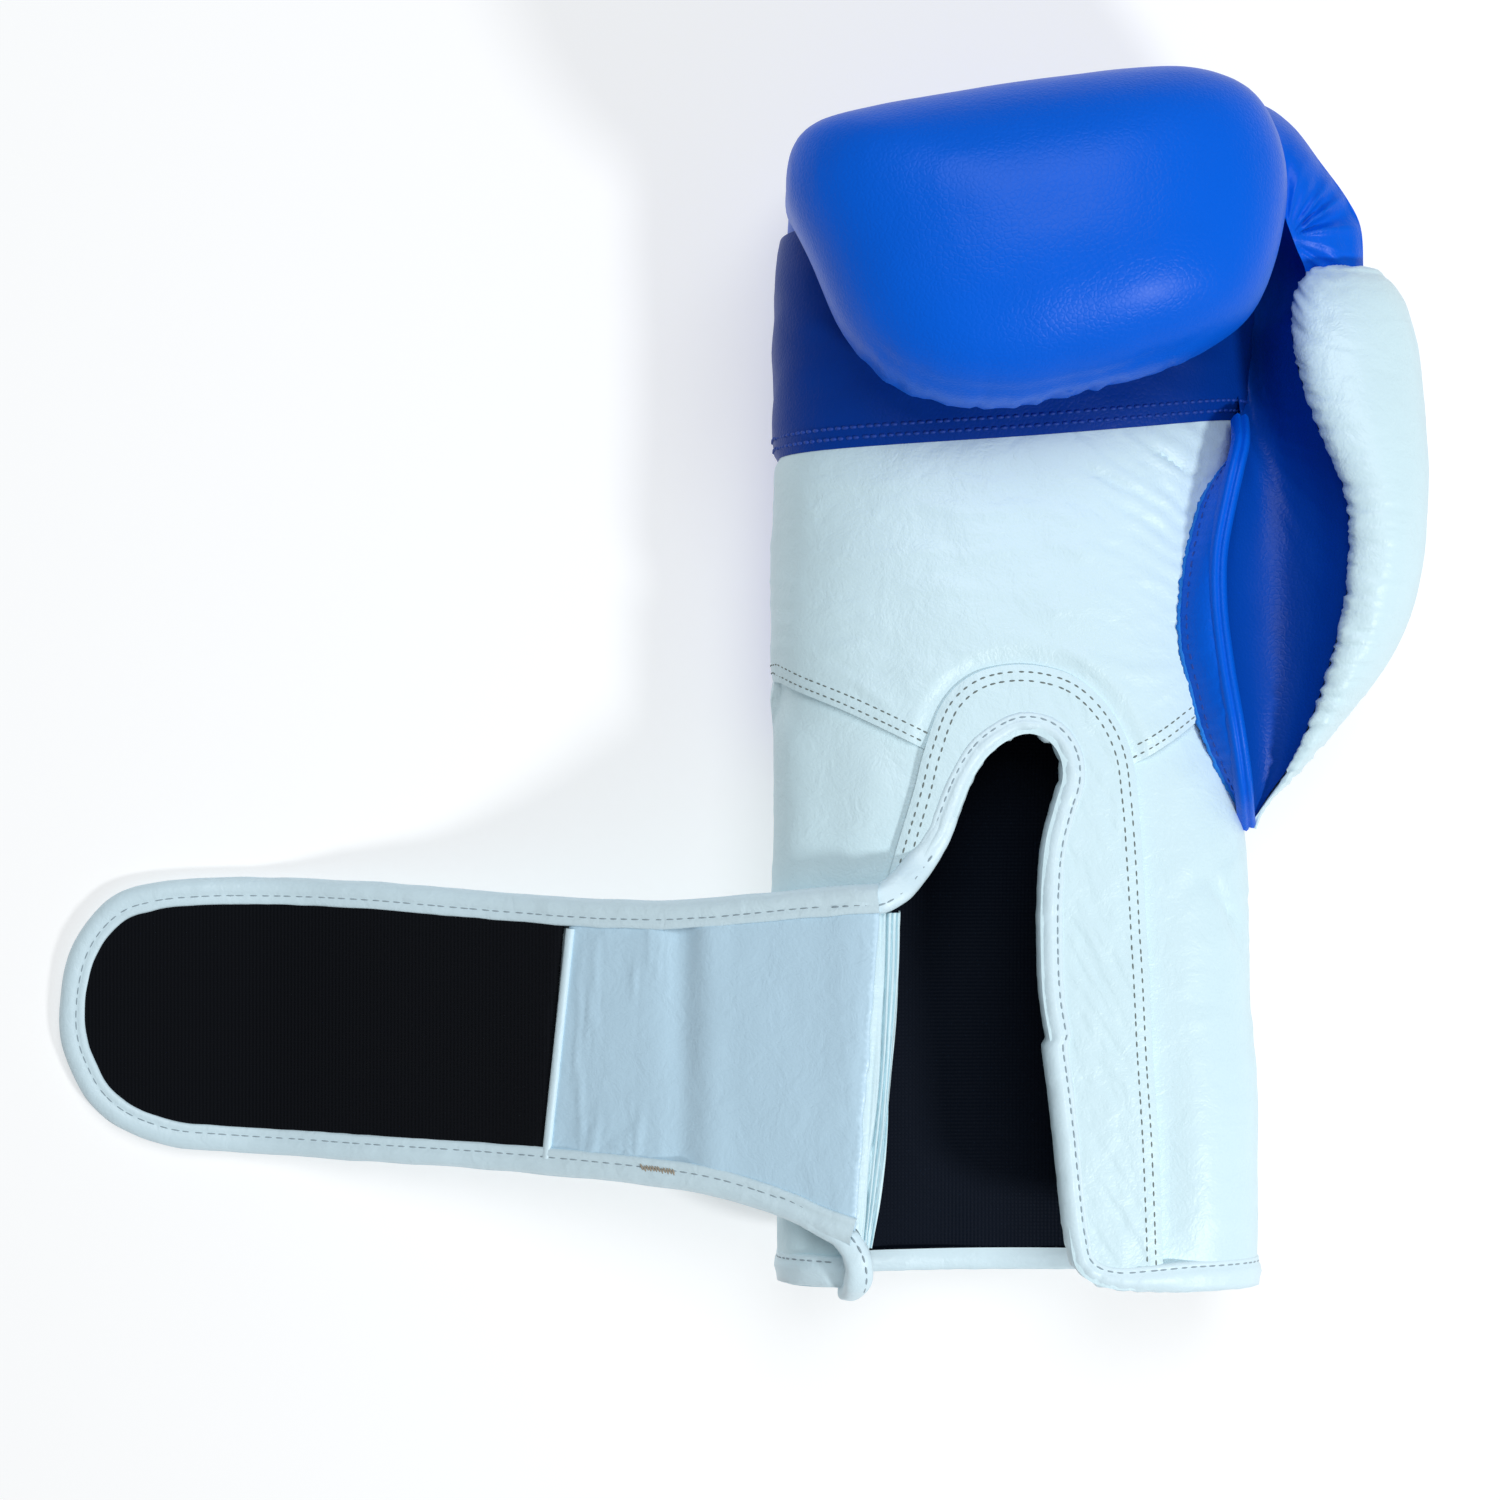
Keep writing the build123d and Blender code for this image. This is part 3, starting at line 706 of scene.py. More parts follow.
PAD_CENTRE = np.array([-4.0, 68.0])
PAD_Z, PAD_TOP = 88.0, 117.6        # where the curled pad is widest, and where it ends
PAD_UNDER = 31.0                    # how far it curls back below that
KNUCKLE_Y, KNUCKLE_DEPTH = 83, 24.6
pad_rim = through(
    (
        (-60.4, 75.9), (-57.6, 88.0), (-43, 93.4), (-21.9, 96.8), (-3, 99.6), (15.8, 101.8), (30.2, 101.8),
        (43.0, 96.6), (49.4, 83.4), (49.4, 66.5), (43.0, 48.4), (33, 40.6), (24.0, 36.4), (5, 30.8),
        (-13, 27.6), (-35.2, 31.4), (-46.6, 42.2), (-54.6, 60.4),
    ),
    closed=True,
    step=1.0,
)
rim_angle = np.unwrap(np.arctan2(pad_rim[:, 1] - PAD_CENTRE[1], pad_rim[:, 0] - PAD_CENTRE[0]))
rim_radius = np.linalg.norm(pad_rim - PAD_CENTRE, axis=1)


def lathe(rings):
    """Closed solid through rings of equally many points."""
    shape = (len(rings), len(rings[0]))
    return np.vstack(rings), grid_faces(*shape, close=True) + [f[::-1] for f in end_faces(*shape)]


PAD_HEIGHTS = (50, 54, 58, 61, 64, 67, 71, 75, 80, 85, 90, 95, 100, 104, 108, 111, 113.5, 115.5, 116.8, 117.4)


def fist_blank():
    """Knuckle end and curled pad as one smooth closed skin."""
    q = np.linspace(-skin.HALF, skin.HALF, 129)[:-1]
    knuckles = [skin.at(q, y) for y in np.arange(30, 83.5, 3.0)]
    last, middle = knuckles[-1], np.array([-3.0, 0, 37.0])
    for y in (86, 90, 94, 98, 101, 103.5, 105.5, 106.6, 107.2):
        k = (1 - ((y - KNUCKLE_Y) / KNUCKLE_DEPTH) ** 2.5) ** (1 / 2.5)
        ring = middle + (last - middle) * k
        ring[:, 1] = y
        knuckles.append(ring)
    whole_turn = 2 * math.pi * np.sign(rim_angle[-1] - rim_angle[0])
    turn = np.linspace(rim_angle[0], rim_angle[0] + whole_turn, 145)[:-1]
    order = np.argsort(rim_angle)
    radius = np.interp(turn, rim_angle[order], rim_radius[order], period=2 * math.pi)
    near = smoothstep(-np.sin(turn), -0.2, 0.55)
    pad = []
    for z in PAD_HEIGHTS:
        if z >= PAD_Z:
            k = (1 - ((z - PAD_Z) / (PAD_TOP - PAD_Z)) ** 2.35) ** (1 / 2.35)
        else:
            under = (1 - min((PAD_Z - z) / PAD_UNDER, 0.995) ** 2.4) ** (1 / 2.4)
            k = 1 - near * (1 - under)
        x, y = PAD_CENTRE[0] + radius * k * np.cos(turn), PAD_CENTRE[1] + radius * k * np.sin(turn)
        pad.append(columns(x, y, z))
    (va, fa), (vb, fb) = lathe(knuckles), lathe(pad)
    faces = fa + [tuple(i + len(va) for i in f) for f in fb]
    blank = mesh("blank", np.vstack([va, vb]), faces, "blue_leather", 0)
    m = blank.modifiers.new("remesh", "REMESH")
    m.mode, m.voxel_size, m.use_smooth_shade = "VOXEL", 1.7 * MM, True
    m = blank.modifiers.new("smooth", "SMOOTH")
    m.factor, m.iterations = 0.6, 9
    done = bpy.data.meshes.new_from_object(blank.evaluated_get(bpy.context.evaluated_depsgraph_get()))
    bpy.data.objects.remove(blank)
    verts, normals = np.empty((2, len(done.vertices) * 3))
    done.vertices.foreach_get("co", verts)
    done.vertices.foreach_get("normal", normals)
    return verts.reshape(-1, 3) / MM, normals.reshape(-1, 3), [tuple(f.vertices) for f in done.polygons]


def fist_shell():
    """The fist's leather: puckered under the curl, and cut away inside the hand."""
    verts, normals, faces = fist_blank()
    x, _, z = verts.T
    near = smoothstep(-normals[:, 1], 0.15, 0.7) * bell(z, 88, 13)
    near *= smoothstep(x, -50, -38) * smoothstep(-x, -36, -22)
    pucker = 1.3 * near * np.abs(rough(verts, (5.5, 70, 40), 61)) ** 0.8
    pucker += 0.9 * near * bell(z - 100.5 - 1.2 * rough((x,), 14, 65), 0, 1.7)
    verts = verts + normals * (0.5 * rough(verts, (40, 40, 40), 63) - pucker)[:, None]
    verts[:, 2] = np.maximum(verts[:, 2], 0.05)
    keep = []
    for f in faces:
        c = verts[list(f)].mean(0)
        if c[1] > 72.5 or skin.clears(c, 0.5):
            keep.append(f)
    used, keep = only(keep)
    mesh("fist_leather", verts[used], keep, "blue_leather", 0)


fist_shell()


# ---------------------------------------------------------------- lofted patches
def loft(at, rows, us, vs):
    """Grid of points through control rows placed at `at`, sampled at us along and vs (0 to 1) across."""
    rows = np.asarray(rows, float)
    out = np.zeros((len(us), len(vs), 3))
    middle = np.stack([[ease(us, at, rows[:, k, c]) for c in range(3)] for k in range(rows.shape[1])])
    for i, row in enumerate(middle.transpose(2, 0, 1)):
        gaps = np.maximum(np.linalg.norm(np.diff(row, axis=0), axis=1), 1e-3)
        d = np.r_[0, np.cumsum(gaps**0.7)]
        out[i] = columns(*(ease(vs * d[-1], d, column) for column in row.T))
    return out


def grid_normals(g):
    return unit(np.cross(np.gradient(g, axis=0), np.gradient(g, axis=1)))


def facing_out(g, outward):
    """1 where a grid's normals point towards `outward`, -1 where they point the other way."""
    return np.sign(grid_normals(g)[len(g) // 2, g.shape[1] // 2] @ np.asarray(outward, float))


def grid_mesh(name, g, slot, outward, sharp=60):
    """Mesh of a grid of points, facing towards `outward`."""
    faces = grid_faces(*g.shape[:2], flip=facing_out(g, outward) < 0)
    return mesh(name, g.reshape(-1, 3), faces, slot, sharp)


def raised(g, height, outward):
    return g + grid_normals(g) * facing_out(g, outward) * height[:, :, None]


def spanned(a, b, v):
    """Grid of straight rows from one line to another."""
    return a[:, None] + (b - a)[:, None] * v[None, :, None]


# ---------------------------------------------------------------- thumb
thumb_y = (-66.6, -62, -56, -46, -34, -22, -8, 10, 27, 41, 50, 56.5, 61, 63.6, 64.6)
seam_x = (49.8, 50.8, 53.6, 57.2, 60.8, 63.8, 65.8, 64.8, 58.2, 54.4, 54.0, 54.8, 57.4, 61.4, 66.0)
seam_z = (45.5, 50, 55.5, 62, 66.5, 69.5, 71.5, 72.5, 71.5, 69.5, 67.5, 66, 63, 60, 58)
outer_x = (50.6, 53.2, 58.6, 67.0, 76.3, 83.2, 86.8, 88.6, 88.2, 86.6, 84.8, 82.6, 79.2, 75.4, 70.2)
crest_z = (46.5, 52, 58.5, 66, 72, 75.5, 78, 79.5, 79.5, 78, 76, 73, 69, 64.5, 58.6)
outer_z = (44, 45, 46, 47.5, 50, 52.5, 55, 57, 58, 58.5, 58.5, 58.5, 58.2, 58, 57.6)
under_z = (42.5, 38.5, 36.5, 34, 33, 33.5, 35, 37, 39, 41, 43, 45, 49, 53, 57)
thumb_rows = []
for y, sx, sz, ox, cz, oz, uz in zip(thumb_y, seam_x, seam_z, outer_x, crest_z, outer_z, under_z):
    wide = ox - sx
    inner = min(49.0 + max(0.0, y - 20) * 0.16 + max(0.0, y - 44) * 0.55, ox - 1.0)
    thumb_rows.append((
        (sx, y, sz), (sx + 0.10 * wide, y, sz + 0.72 * (cz - sz)), (sx + 0.42 * wide, y, cz),
        (ox - 0.16 * wide, y, oz + 0.66 * (cz - oz)), (ox, y, oz),
        (ox - 0.14 * wide, y, oz - 0.62 * (oz - uz)), (ox - 0.5 * wide, y, uz),
        (inner + 0.1 * wide, y, uz + 0.4), (inner, y, uz + 3.0),
    ))
us = np.r_[np.linspace(-66.6, 56, 210), 56 + 8.6 * np.sin(np.linspace(0.03, math.pi / 2, 30))]
g = loft(thumb_y, thumb_rows, us, np.linspace(0, 1, 84))
y = g[:, :, 1]
from_seam = np.linalg.norm(g - g[:, :1], axis=2)
swirl = y + from_seam * (0.15 + 0.75 * smoothstep(y, 25, 55))
lines = rough((swirl, from_seam * 0.16), 3.4, 71, 3)
reach = 7.0 + 6.0 * (0.5 + 0.5 * rough((y,), 5.0, 73))
strength = np.exp(-((from_seam / reach) ** 1.6)) * smoothstep(y, -66, -52)
strength *= 0.5 + 0.5 * smoothstep(-y, -25, 20) + 0.4 * smoothstep(y, 25, 50)
gather = -np.abs(lines) ** 0.8 * 2.1 * strength
soft = 0.55 * rough(g, (26, 22, 26), 75) + 0.22 * bumps(g, (7, 18, 12), 76, 3)
height = gather - 1.8 * np.exp(-from_seam / 1.5) + soft * smoothstep(from_seam, 3, 12)
grid_mesh("thumb_leather", raised(g, height, (0.3, 0, 1)), "white_leather", (0.3, 0, 1), 0)

# The blue leather between the thumb and the hand, drawn darker as painted shade for its hollow under the
# thumb.
line_y = (-66.4, -59.6, -50, -43.5, -27.4, -13.6, -4.4, 9.4, 17, 23.3, 30, 40, 50, 58, 66, 78)
line_x = (49.6, 47.0, 44.8, 43.4, 40.4, 38.8, 38.8, 41.2, 43.0, 44.8, 45.8, 46.2, 46.6, 47.0, 47.4, 47.6)
line_z = (45.2, 56.5, 62.5, 64.8, 66.4, 66.8, 66.8, 66.6, 66, 63, 56, 48, 44, 43, 44, 50)
sag = (0, 1.5, 4.5, 6.5, 9.5, 12, 13, 15, 16.5, 17, 16, 13.5, 12, 9.5, 6, 3)
tip_y = (50, 58, 62, 66, 72, 78)
tip_x = (56.4, 60.5, 63.0, 61.5, 58.0, 53.0)
tip_z = (65, 58, 58, 59.5, 62.5, 65.5)
rows = []
for y0, lx, lz, sg in zip(line_y, line_x, line_z, sag):
    if y0 < 52:
        low = smoothstep(y0, -66, -50)
        sx, sz = ease(y0, thumb_y, seam_x) + 2.4 * low, ease(y0, thumb_y, seam_z) - 2.2 * low - 0.4
    else:
        sx, sz = np.interp(y0, tip_y, tip_x), np.interp(y0, tip_y, tip_z)
    rows.append([(lx + (sx - lx) * v, y0, lz + (sz - lz) * v - sg * (4 * v * (1 - v)) ** 0.8)
                 for v in (0, 0.16, 0.36, 0.58, 0.8, 1.0)])
g = loft(line_y, rows, np.linspace(-66.4, 77.5, 170), np.linspace(0, 1, 40))
x, y = g[:, :, 0], g[:, :, 1]
rays = 0.5 * rough((np.arctan2(y - 32, x - 46) * 14,), 1.0, 81) * bell(np.hypot(x - 50, y - 20), 0, 22)
g = raised(g, rays + 0.4 * rough(g, (16, 22, 20), 83), UP)
grid_mesh("thumb_inner_leather", g, "thumb_blue_leather", UP, 0)

# The gusset from the palm to the thumb's seam.
left_y = (-66.4, -61, -57.3, -45.8, -34.3, -22.8, -13.6, 0.2, 11.7, 18, 23.3, 29.7)
left_x = (46.9, 44.2, 42.1, 36.3, 32.9, 30.1, 30.1, 32.4, 36.3, 40.4, 44.4, 48.6)
us = np.linspace(-66.0, 29.2, 190)
palm_edge = ease(us, left_y, left_x) + 0.28 * rough((us,), 1.6, 87)
left_edge, left_up = on(skin, skin.flat(columns(palm_edge, us)))
left_edge = left_edge + 1.9 * left_up
right_edge = columns(ease(us, line_y, line_x) - 0.6, us, ease(us, line_y, line_z) + 0.9)
width = np.linalg.norm(right_edge - left_edge, axis=1)[:, None]
v = np.linspace(0, 1, 30)
g = spanned(left_edge, right_edge, v)
swell = smoothstep(us, -62, -50) * smoothstep(-us, -27, -15)
g[:, :, 2] += 0.16 * width * (4 * v * (1 - v))[None] * swell[:, None]
x, y = g[:, :, 0], g[:, :, 1]
wrinkles = rough((y - 0.7 * x, 0.16 * x), 3.0, 89) * 0.35 * smoothstep(-y, 18, 34)
wrinkles = wrinkles + 0.35 * rough(g, (9, 14, 20), 86)
g[:, :, 2] += wrinkles * (np.minimum(v, 1 - v) * 4).clip(0, 1)[None]
g = np.concatenate([left_edge[:, None] - (0, 0, 1.5), g], axis=1)
thumb_gusset = grid_mesh("thumb_gusset_leather", g, "blue_leather", UP, 40)
# Its cut edge on the palm, left raw and a little ragged; its lighter, speckled colour is partly the raw
# edge's own tone and partly painted highlight where the edge catches light.
raw = even(left_edge[6:-8], 0.45)
out = columns(-tangents(raw)[:, 1], tangents(raw)[:, 0], 0.0)
out *= -np.sign(out[len(out) // 2] @ (right_edge - left_edge)[len(left_edge) // 2])
frayed = 0.45 + 0.5 * np.maximum(rough(raw, 1.1, 88, 2), -0.6)
raw_rows = [raw + out * np.reshape(by, (-1, 1)) + (0, 0, up)
            for by, up in ((-0.9, 0.45), (-0.2, 0.75), (frayed, 0.25), (0.2, -0.9))]
grid_mesh("thumb_gusset_raw_edge", np.stack(raw_rows, 1), "raw_edge_and_painted_highlight", UP, 0)
ridge_path = even(right_edge + np.array([0.6, 0, -0.2]), 1.2)
ridge_n = rough(ridge_path, (6, 6, 6), 95)


def ridge_profile(i):
    w, h = 1.7, 1.15 + 0.12 * ridge_n[i]
    return [(-w - 0.5, -0.8), (-w, 0.35 * h), (-0.95, h), (-0.35, 0.72 * h), (0.0, 0.3 * h), (0.35, 0.8 * h),
            (1.0, h), (w, 0.3 * h), (w + 0.5, -1.2)]


sweep("thumb_seam_leather", ridge_path, np.tile(UP, (len(ridge_path), 1)), ridge_profile, "blue_leather")

# The tie from the index side of the fist to the tip of the thumb.
TIE_ROWS, TIE_COLS = 90, 56
GATHER_X, GATHER_Y = 54.2, 69.0     # where its pleats meet
outer_line, inner_line = (
    resampled(through(points, 1.0), TIE_ROWS)
    for points in (
        ((44, 104, 45), (50.6, 102.4, 56), (57.1, 96.6, 60), (63.6, 87.5, 61.5), (69.8, 79.2, 61),
         (73.0, 73.2, 60), (74.4, 61.5, 57)),
        ((44, 92, 74), (48, 84, 74), (51.5, 77, 72), (54.5, 71.5, 69), (57, 67, 66), (59.5, 63, 63),
         (61, 59, 60)),
    )
)
v = np.linspace(0, 1, TIE_COLS)
across = 4 * v * (1 - v)
flat_tie = spanned(outer_line, inner_line, v)
g = flat_tie + np.array([0.3, 0.3, 0.9]) * (3.2 * across[None, :, None])
x, y = g[:, :, 0] - GATHER_X, g[:, :, 1] - GATHER_Y
reach = np.hypot(x, y)
rays = np.abs(rough((np.arctan2(y, x) * 3.4, reach * 0.02), 1.0, 99, 1))
rays *= bell(reach, 0, 24) * smoothstep(reach, 0.5, 5)
wide_fold = 0.9 * rough((np.linspace(0, 1.2, TIE_ROWS)[:, None], v * 2.6), 1.0, 98, 1)
g[:, :, 2] += (wide_fold - 4.2 * rays) * (across[None] ** 0.5)
under = flat_tie - np.array([0, 0, 2.2]) * across[None, :, None]
g = np.concatenate([g, under[:, ::-1]], axis=1)
grid_mesh("thumb_attachment_leather", g, "blue_leather", (0.2, 0, 1), 0)


# ---------------------------------------------------------------- wrist opening: facing, binding and lining
def facing_shape(flat, edge, base):
    """Fine slanting wrinkles down the right arm."""
    x, y, _ = base.T
    slant = bumps(((y + 1.6 * x) * 0.9, (x - 0.5 * y) * 0.12), 2.8, 91, 3)
    slant *= 0.6 * smoothstep(edge, 3.2, 6) * smoothstep(x, -12, 8)
    return 0.25 * rough(base, (12, 16, 20), 93) - slant


facing_runs = (facing_edge, [(26.8, -168), (27.0, -172.2)], opening_path[::-1])
facing_outline = joined(*(skin.flat(run) for run in facing_runs), step=1.4)
facing = panel("opening_facing_leather", skin, facing_outline, "white_leather", step=1.1, lift=1.5,
               puff=0.45, soft=1.5, thick=1.0, more=facing_shape)

q_start = skin.flat([(HEM_RIGHT_X, HEM_Y + HEM_RISE)])[0, 0]
q_stop = 2 * skin.HALF + skin.flat([(HEM_LEFT_X, HEM_Y)])[0, 0]
around = np.arange(q_start + 1.5, q_stop, 1.5)
hem_rise = HEM_RISE * smoothstep(skin.at(around, HEM_Y)[:, 2], 32, 60)
hem_points = columns(around, HEM_Y + hem_rise + 0.8 * smoothstep(around, q_stop - 62, q_stop - 30))
rim_flat = np.vstack([skin.flat(opening_path[opening_path[:, 0] > -31.5]), hem_points])
rim, rim_up = on(skin, rim_flat)
rim_s = lengths(rim)
arm = len(rim) - len(hem_points)
steps = np.arange(len(rim))
hem_part = smoothstep(steps, arm - 10, arm + 6)
depth = np.linalg.norm(rim - pocket.at(*rim_flat.T), axis=1)
crumple = [rough((rim_s,), size, seed, 2) for size, seed in ((5.5, 101), (4.0, 103), (9.0, 105))]
apex = bell(rim_s, rim_s[rim_flat[:arm, 1].argmax()], 16)
corner = bell(rim_s, rim_s[arm - 9], 13)
rim_y = rim_flat[:, 1]
# How far the binding stands in from the edge, and how much lower it lies along the hem.
rim_shift = (0.75 - 1.3 * smoothstep(-rim_y, 115.4, 116.4) * smoothstep(-rim_y, 175, 140)) * (1 - hem_part)
rim_low = 0.8 * smoothstep(steps, arm + 2, arm + 8)


def binding_profile(i):
    wide = 4.5 + 1.7 * hem_part[i] + 0.3 * crumple[0][i]
    fuss = 0.22 + 0.8 * apex[i] + 0.7 * corner[i]
    high = 2.4 + 0.4 * crumple[1][i] * (0.3 + fuss)
    scallop = 1 - abs(math.sin(math.pi * (rim_s[i] + 1.5 * crumple[2][i]) / 4.4))
    scallop *= apex[i] + 0.5 * corner[i]
    out = -1.2 + 0.6 * fuss * crumple[1][i] + 1.3 * scallop
    deep = min(max(depth[i], 4.0), 9.5) + 0.6
    low = rim_low[i]
    high -= low + 0.55 * scallop
    points = (
        (wide, -0.2), (wide + 0.1, 1.4 - low), (wide - 0.25, 2.0 - low), (wide - 1.0, 2.1 - low),
        (wide - 1.5, 1.95 - low), (wide - 2.2, high), (wide * 0.38, high + 0.25), (0.5, high - 0.3),
        (out + 0.45, 1.2), (out, 0.0), (out - 0.15, -deep * 0.35), (out, -deep * 0.7),
        (out + 0.5, -deep + 0.3), (out + 1.5, -deep - 0.4), (3.2, -deep - 0.5), (4.6, -deep - 0.1),
    )
    return [(s + rim_shift[i], u) for s, u in points]


sweep("opening_binding_leather", rim, rim_up, binding_profile, "white_binding", caps=True)


def slotted_outline(y_low, y_high):
    """Unrolled cuff lining between two heights, open along the palm where the glove is."""
    edge_line = beside(opening_path, 2.2)
    top = edge_line[:, 1].argmax()
    right = edge_line[top:]
    left = np.vstack([edge_line[top::-1], [(-38.0, -100), (-40, -140), (-41, -160), (-44.5, y_low)]])
    lf, rf = pocket.flat(left), pocket.flat(right[right[:, 1] > y_low])
    lf[:, 0] += 2 * pocket.HALF
    rf = np.vstack([rf, [(rf[-1, 0], y_low)]])
    bottom, upper = [rf[-1], (lf[-1, 0], y_low)], [(lf[0, 0], y_high), (rf[0, 0], y_high)]
    return joined(rf, bottom, lf[::-1], upper, step=2.5)


POCKET_END_Y = 76.0
panel("cuff_lining_fabric", pocket, slotted_outline(-171.8, -41.6), "black_lining", step=3.0,
      puff=0.6, soft=8, more=lambda flat, edge, base: 0.7 * rough(base, (22, 30, 30), 111), inward=True)
hand_outline = joined([(-165, -42.5), (165, -42.5), (165, POCKET_END_Y), (-165, POCKET_END_Y)], step=3.0)
panel("hand_lining_fabric", pocket, hand_outline, "black_lining", step=4.0, puff=0.0,
      more=lambda flat, edge, base: 0.5 * rough(base, 24, 113), inward=True)
end_ring = pocket.at(np.linspace(-165, 165, 67)[:-1], POCKET_END_Y)
middle = np.array([-3.0, POCKET_END_Y, 50.0])
rings = [middle + (0, 3.5 * (1 - k * k), 0) + (end_ring - middle) * k
         for k in (1.0, 0.9, 0.75, 0.55, 0.35, 0.15, 0.04)]
end_shape = (len(rings), len(end_ring))
faces = grid_faces(*end_shape, close=True) + end_faces(*end_shape)[1:]
mesh("hand_lining_fabric_end", np.vstack(rings), faces, "black_lining", 0)
bar_x = np.linspace(-41, 29, 48)
bar_path = columns(bar_x, 33 + 0.9 * np.sin(bar_x * 0.07), 52.6 - ((bar_x + 6) / 35) ** 4 * 4.0)


def bar_profile(i):
    a = np.linspace(0, 2 * math.pi, 21)[:-1]
    end = (1 - abs(2 * i / (len(bar_path) - 1) - 1) ** 8) ** 0.5 + 0.02
    return columns(6.0 * end * np.cos(a), 5.6 * end * np.sin(a))


sweep("grip_bar_fabric", bar_path, np.tile(UP, (48, 1)), bar_profile, "black_lining", close=True)

# Loop tape on the back of the cuff.
row = skin.row(-120)
half_round = np.hypot(np.diff(skin.x[row]), np.diff(skin.z[row])).sum()
tape_corners = through([
    (skin.HALF - (x - skin.cx[row]) * skin.HALF / half_round, y)
    for x, y in ((44, -150), (44, -92), (40, -88), (-8, -88), (-12, -92), (-12, -150), (-8, -154),
                 (40, -154), (44, -150))
])
loop_patch = panel("loop_tape_fabric", skin, tape_corners[:-1], "loop_tape", step=2.6, lift=2.0, puff=0.35,
                   soft=2.0, thick=1.6)


# ---------------------------------------------------------------- strap
FOLD_Z = 68.0
STRAP_START = -3.5      # where the strap's flat layers begin, along it


class Ribbon:
    """The open strap's middle surface: s along it from the fold line, w across towards the fist."""

    def __init__(self):
        self.pivot = np.array([-41.0, -121.5, FOLD_Z])
        self.along = np.array([-0.9986295, 0.052336, 0.0])
        self.axis = np.array([0.052336, 0.9986295, 0.0])
        self.s = np.arange(-14, 232, 0.25)
        bend = 11.0

        def ramp(at):
            return np.clip((self.s - at + bend) / (2 * bend), 0, 1)

        degrees = -27.5 + 9.436 * ramp(100.0) + 18.064 * ramp(162.0) + 27.5 * (1 - ramp(-3.0) ** 0.7)
        self.slope = np.radians(degrees)
        start = int(np.argmin(np.abs(self.s)))
        self.d = np.cumsum(np.cos(self.slope)) * 0.25
        self.z = np.cumsum(np.sin(self.slope)) * 0.25
        self.d -= self.d[start]
        self.z += FOLD_Z - self.z[start]

    def at(self, s, w):
        s, w = np.broadcast_arrays(np.asarray(s, float), np.asarray(w, float))
        d, z = np.interp(s, self.s, self.d), np.interp(s, self.s, self.z)
        flat = self.pivot * (1, 1, 0) + d[..., None] * self.along + w[..., None] * self.axis
        return flat + z[..., None] * np.array(UP)

    def normal(self, s, w):
        a = np.interp(np.broadcast_arrays(s, w)[0], self.s, self.slope)[..., None]
        return -np.sin(a) * self.along + np.cos(a) * np.array(UP)

    def flat(self, xy):
        """(s, w) of points given from above."""
        p = np.asarray(xy, float) - self.pivot[:2]
        return columns(np.interp(p @ self.along[:2], self.d, self.s), p @ self.axis[:2])


strap = Ribbon()
strap_outline = through(
    (
        (-38.6, -79.0), (-45.3, -79.6), (-56.1, -80.7), (-78.5, -83.5), (-97.4, -84.5), (-126.4, -83.6),
        (-163.4, -81.3), (-187, -80.7), (-206, -80.8), (-219.7, -82.2), (-228, -85.0), (-235, -91.2),
        (-239.6, -99.5), (-241.9, -112.0), (-241.6, -121), (-238.7, -129.6), (-234.4, -136.8),
        (-228, -142.4), (-216.0, -147.2), (-199, -149.0), (-176.1, -149.8), (-148.9, -150.3),
        (-126.4, -150.6), (-97.4, -151.1), (-78.5, -152.2), (-64.9, -154.9), (-54.5, -158.3),
        (-45.0, -161.3),
    ),
    step=1.4,
)
edge_flat = strap.flat(strap_outline)
edge_s = lengths(strap_outline)
TAPE_START = 82.0
CUTS = (50.0, 131.0)        # the lengths where the strap's bodies meet
STRAP_PARTS = ("root", "middle", "tip")


def strap_lengths(ob):
    """How far along the strap each vertex of a mesh lies."""
    return strap.flat([(v.co[0] / MM, v.co[1] / MM) for v in ob.data.vertices])[:, 0]


def cut_mesh(source, along, cuts):
    """Split a mesh where `along` (one number per vertex) passes the cuts, keeping its shading unbroken."""
    me = source.data
    normals = np.array([tuple(v.normal) for v in me.vertices])
    verts = np.array([tuple(v.co) for v in me.vertices])
    limits = [-math.inf, *cuts, math.inf]
    for tag, low, high in zip(STRAP_PARTS[-len(cuts) - 1 :], limits[:-1], limits[1:]):
        kept = [f.vertices for f in me.polygons if low <= np.mean(along[list(f.vertices)]) < high]
        used, faces = only(kept)
        ob = mesh(source.name + "_" + tag, verts[used] / MM, faces, source["slot"], 0)
        ob.data.normals_split_custom_set_from_vertices(normals[used].tolist())
    bpy.data.objects.remove(source)


def strap_layer(name, outline, slot, t, shape, step, under=False, cuts=(), puff=0.0):
    """Flat layer of the strap at height t from its middle, cut in lengths."""
    ob = panel(name, strap, outline, slot, step=step, lift=t, puff=puff, soft=1.5, thick=0.5, more=shape,
               sharp=0, inward=under)
    if cuts:
        cut_mesh(ob, strap_lengths(ob), cuts)


inset = strap.flat(beside(strap_outline, 3.4))
top_run, low_run = inset[: len(inset) // 2], inset[len(inset) // 2 :]


def tape_start(w):
    """The slanting start of the hook tape."""
    return TAPE_START + 0.9 - 0.062 * w


def within(keep, rag=0.0):
    """Outline of the strap's inside where keep(s, w) holds, its straight end a little ragged."""
    a, b = (run[keep(*run.T)] for run in (top_run, low_run))
    closing = np.linspace(b[-1], a[0], 60)
    closing[:, 0] += rag * rough((closing[:, 1],), 7, 137, 2) * np.sin(np.linspace(0, math.pi, 60))
    return joined(a, [a[-1], b[0]], b, closing)


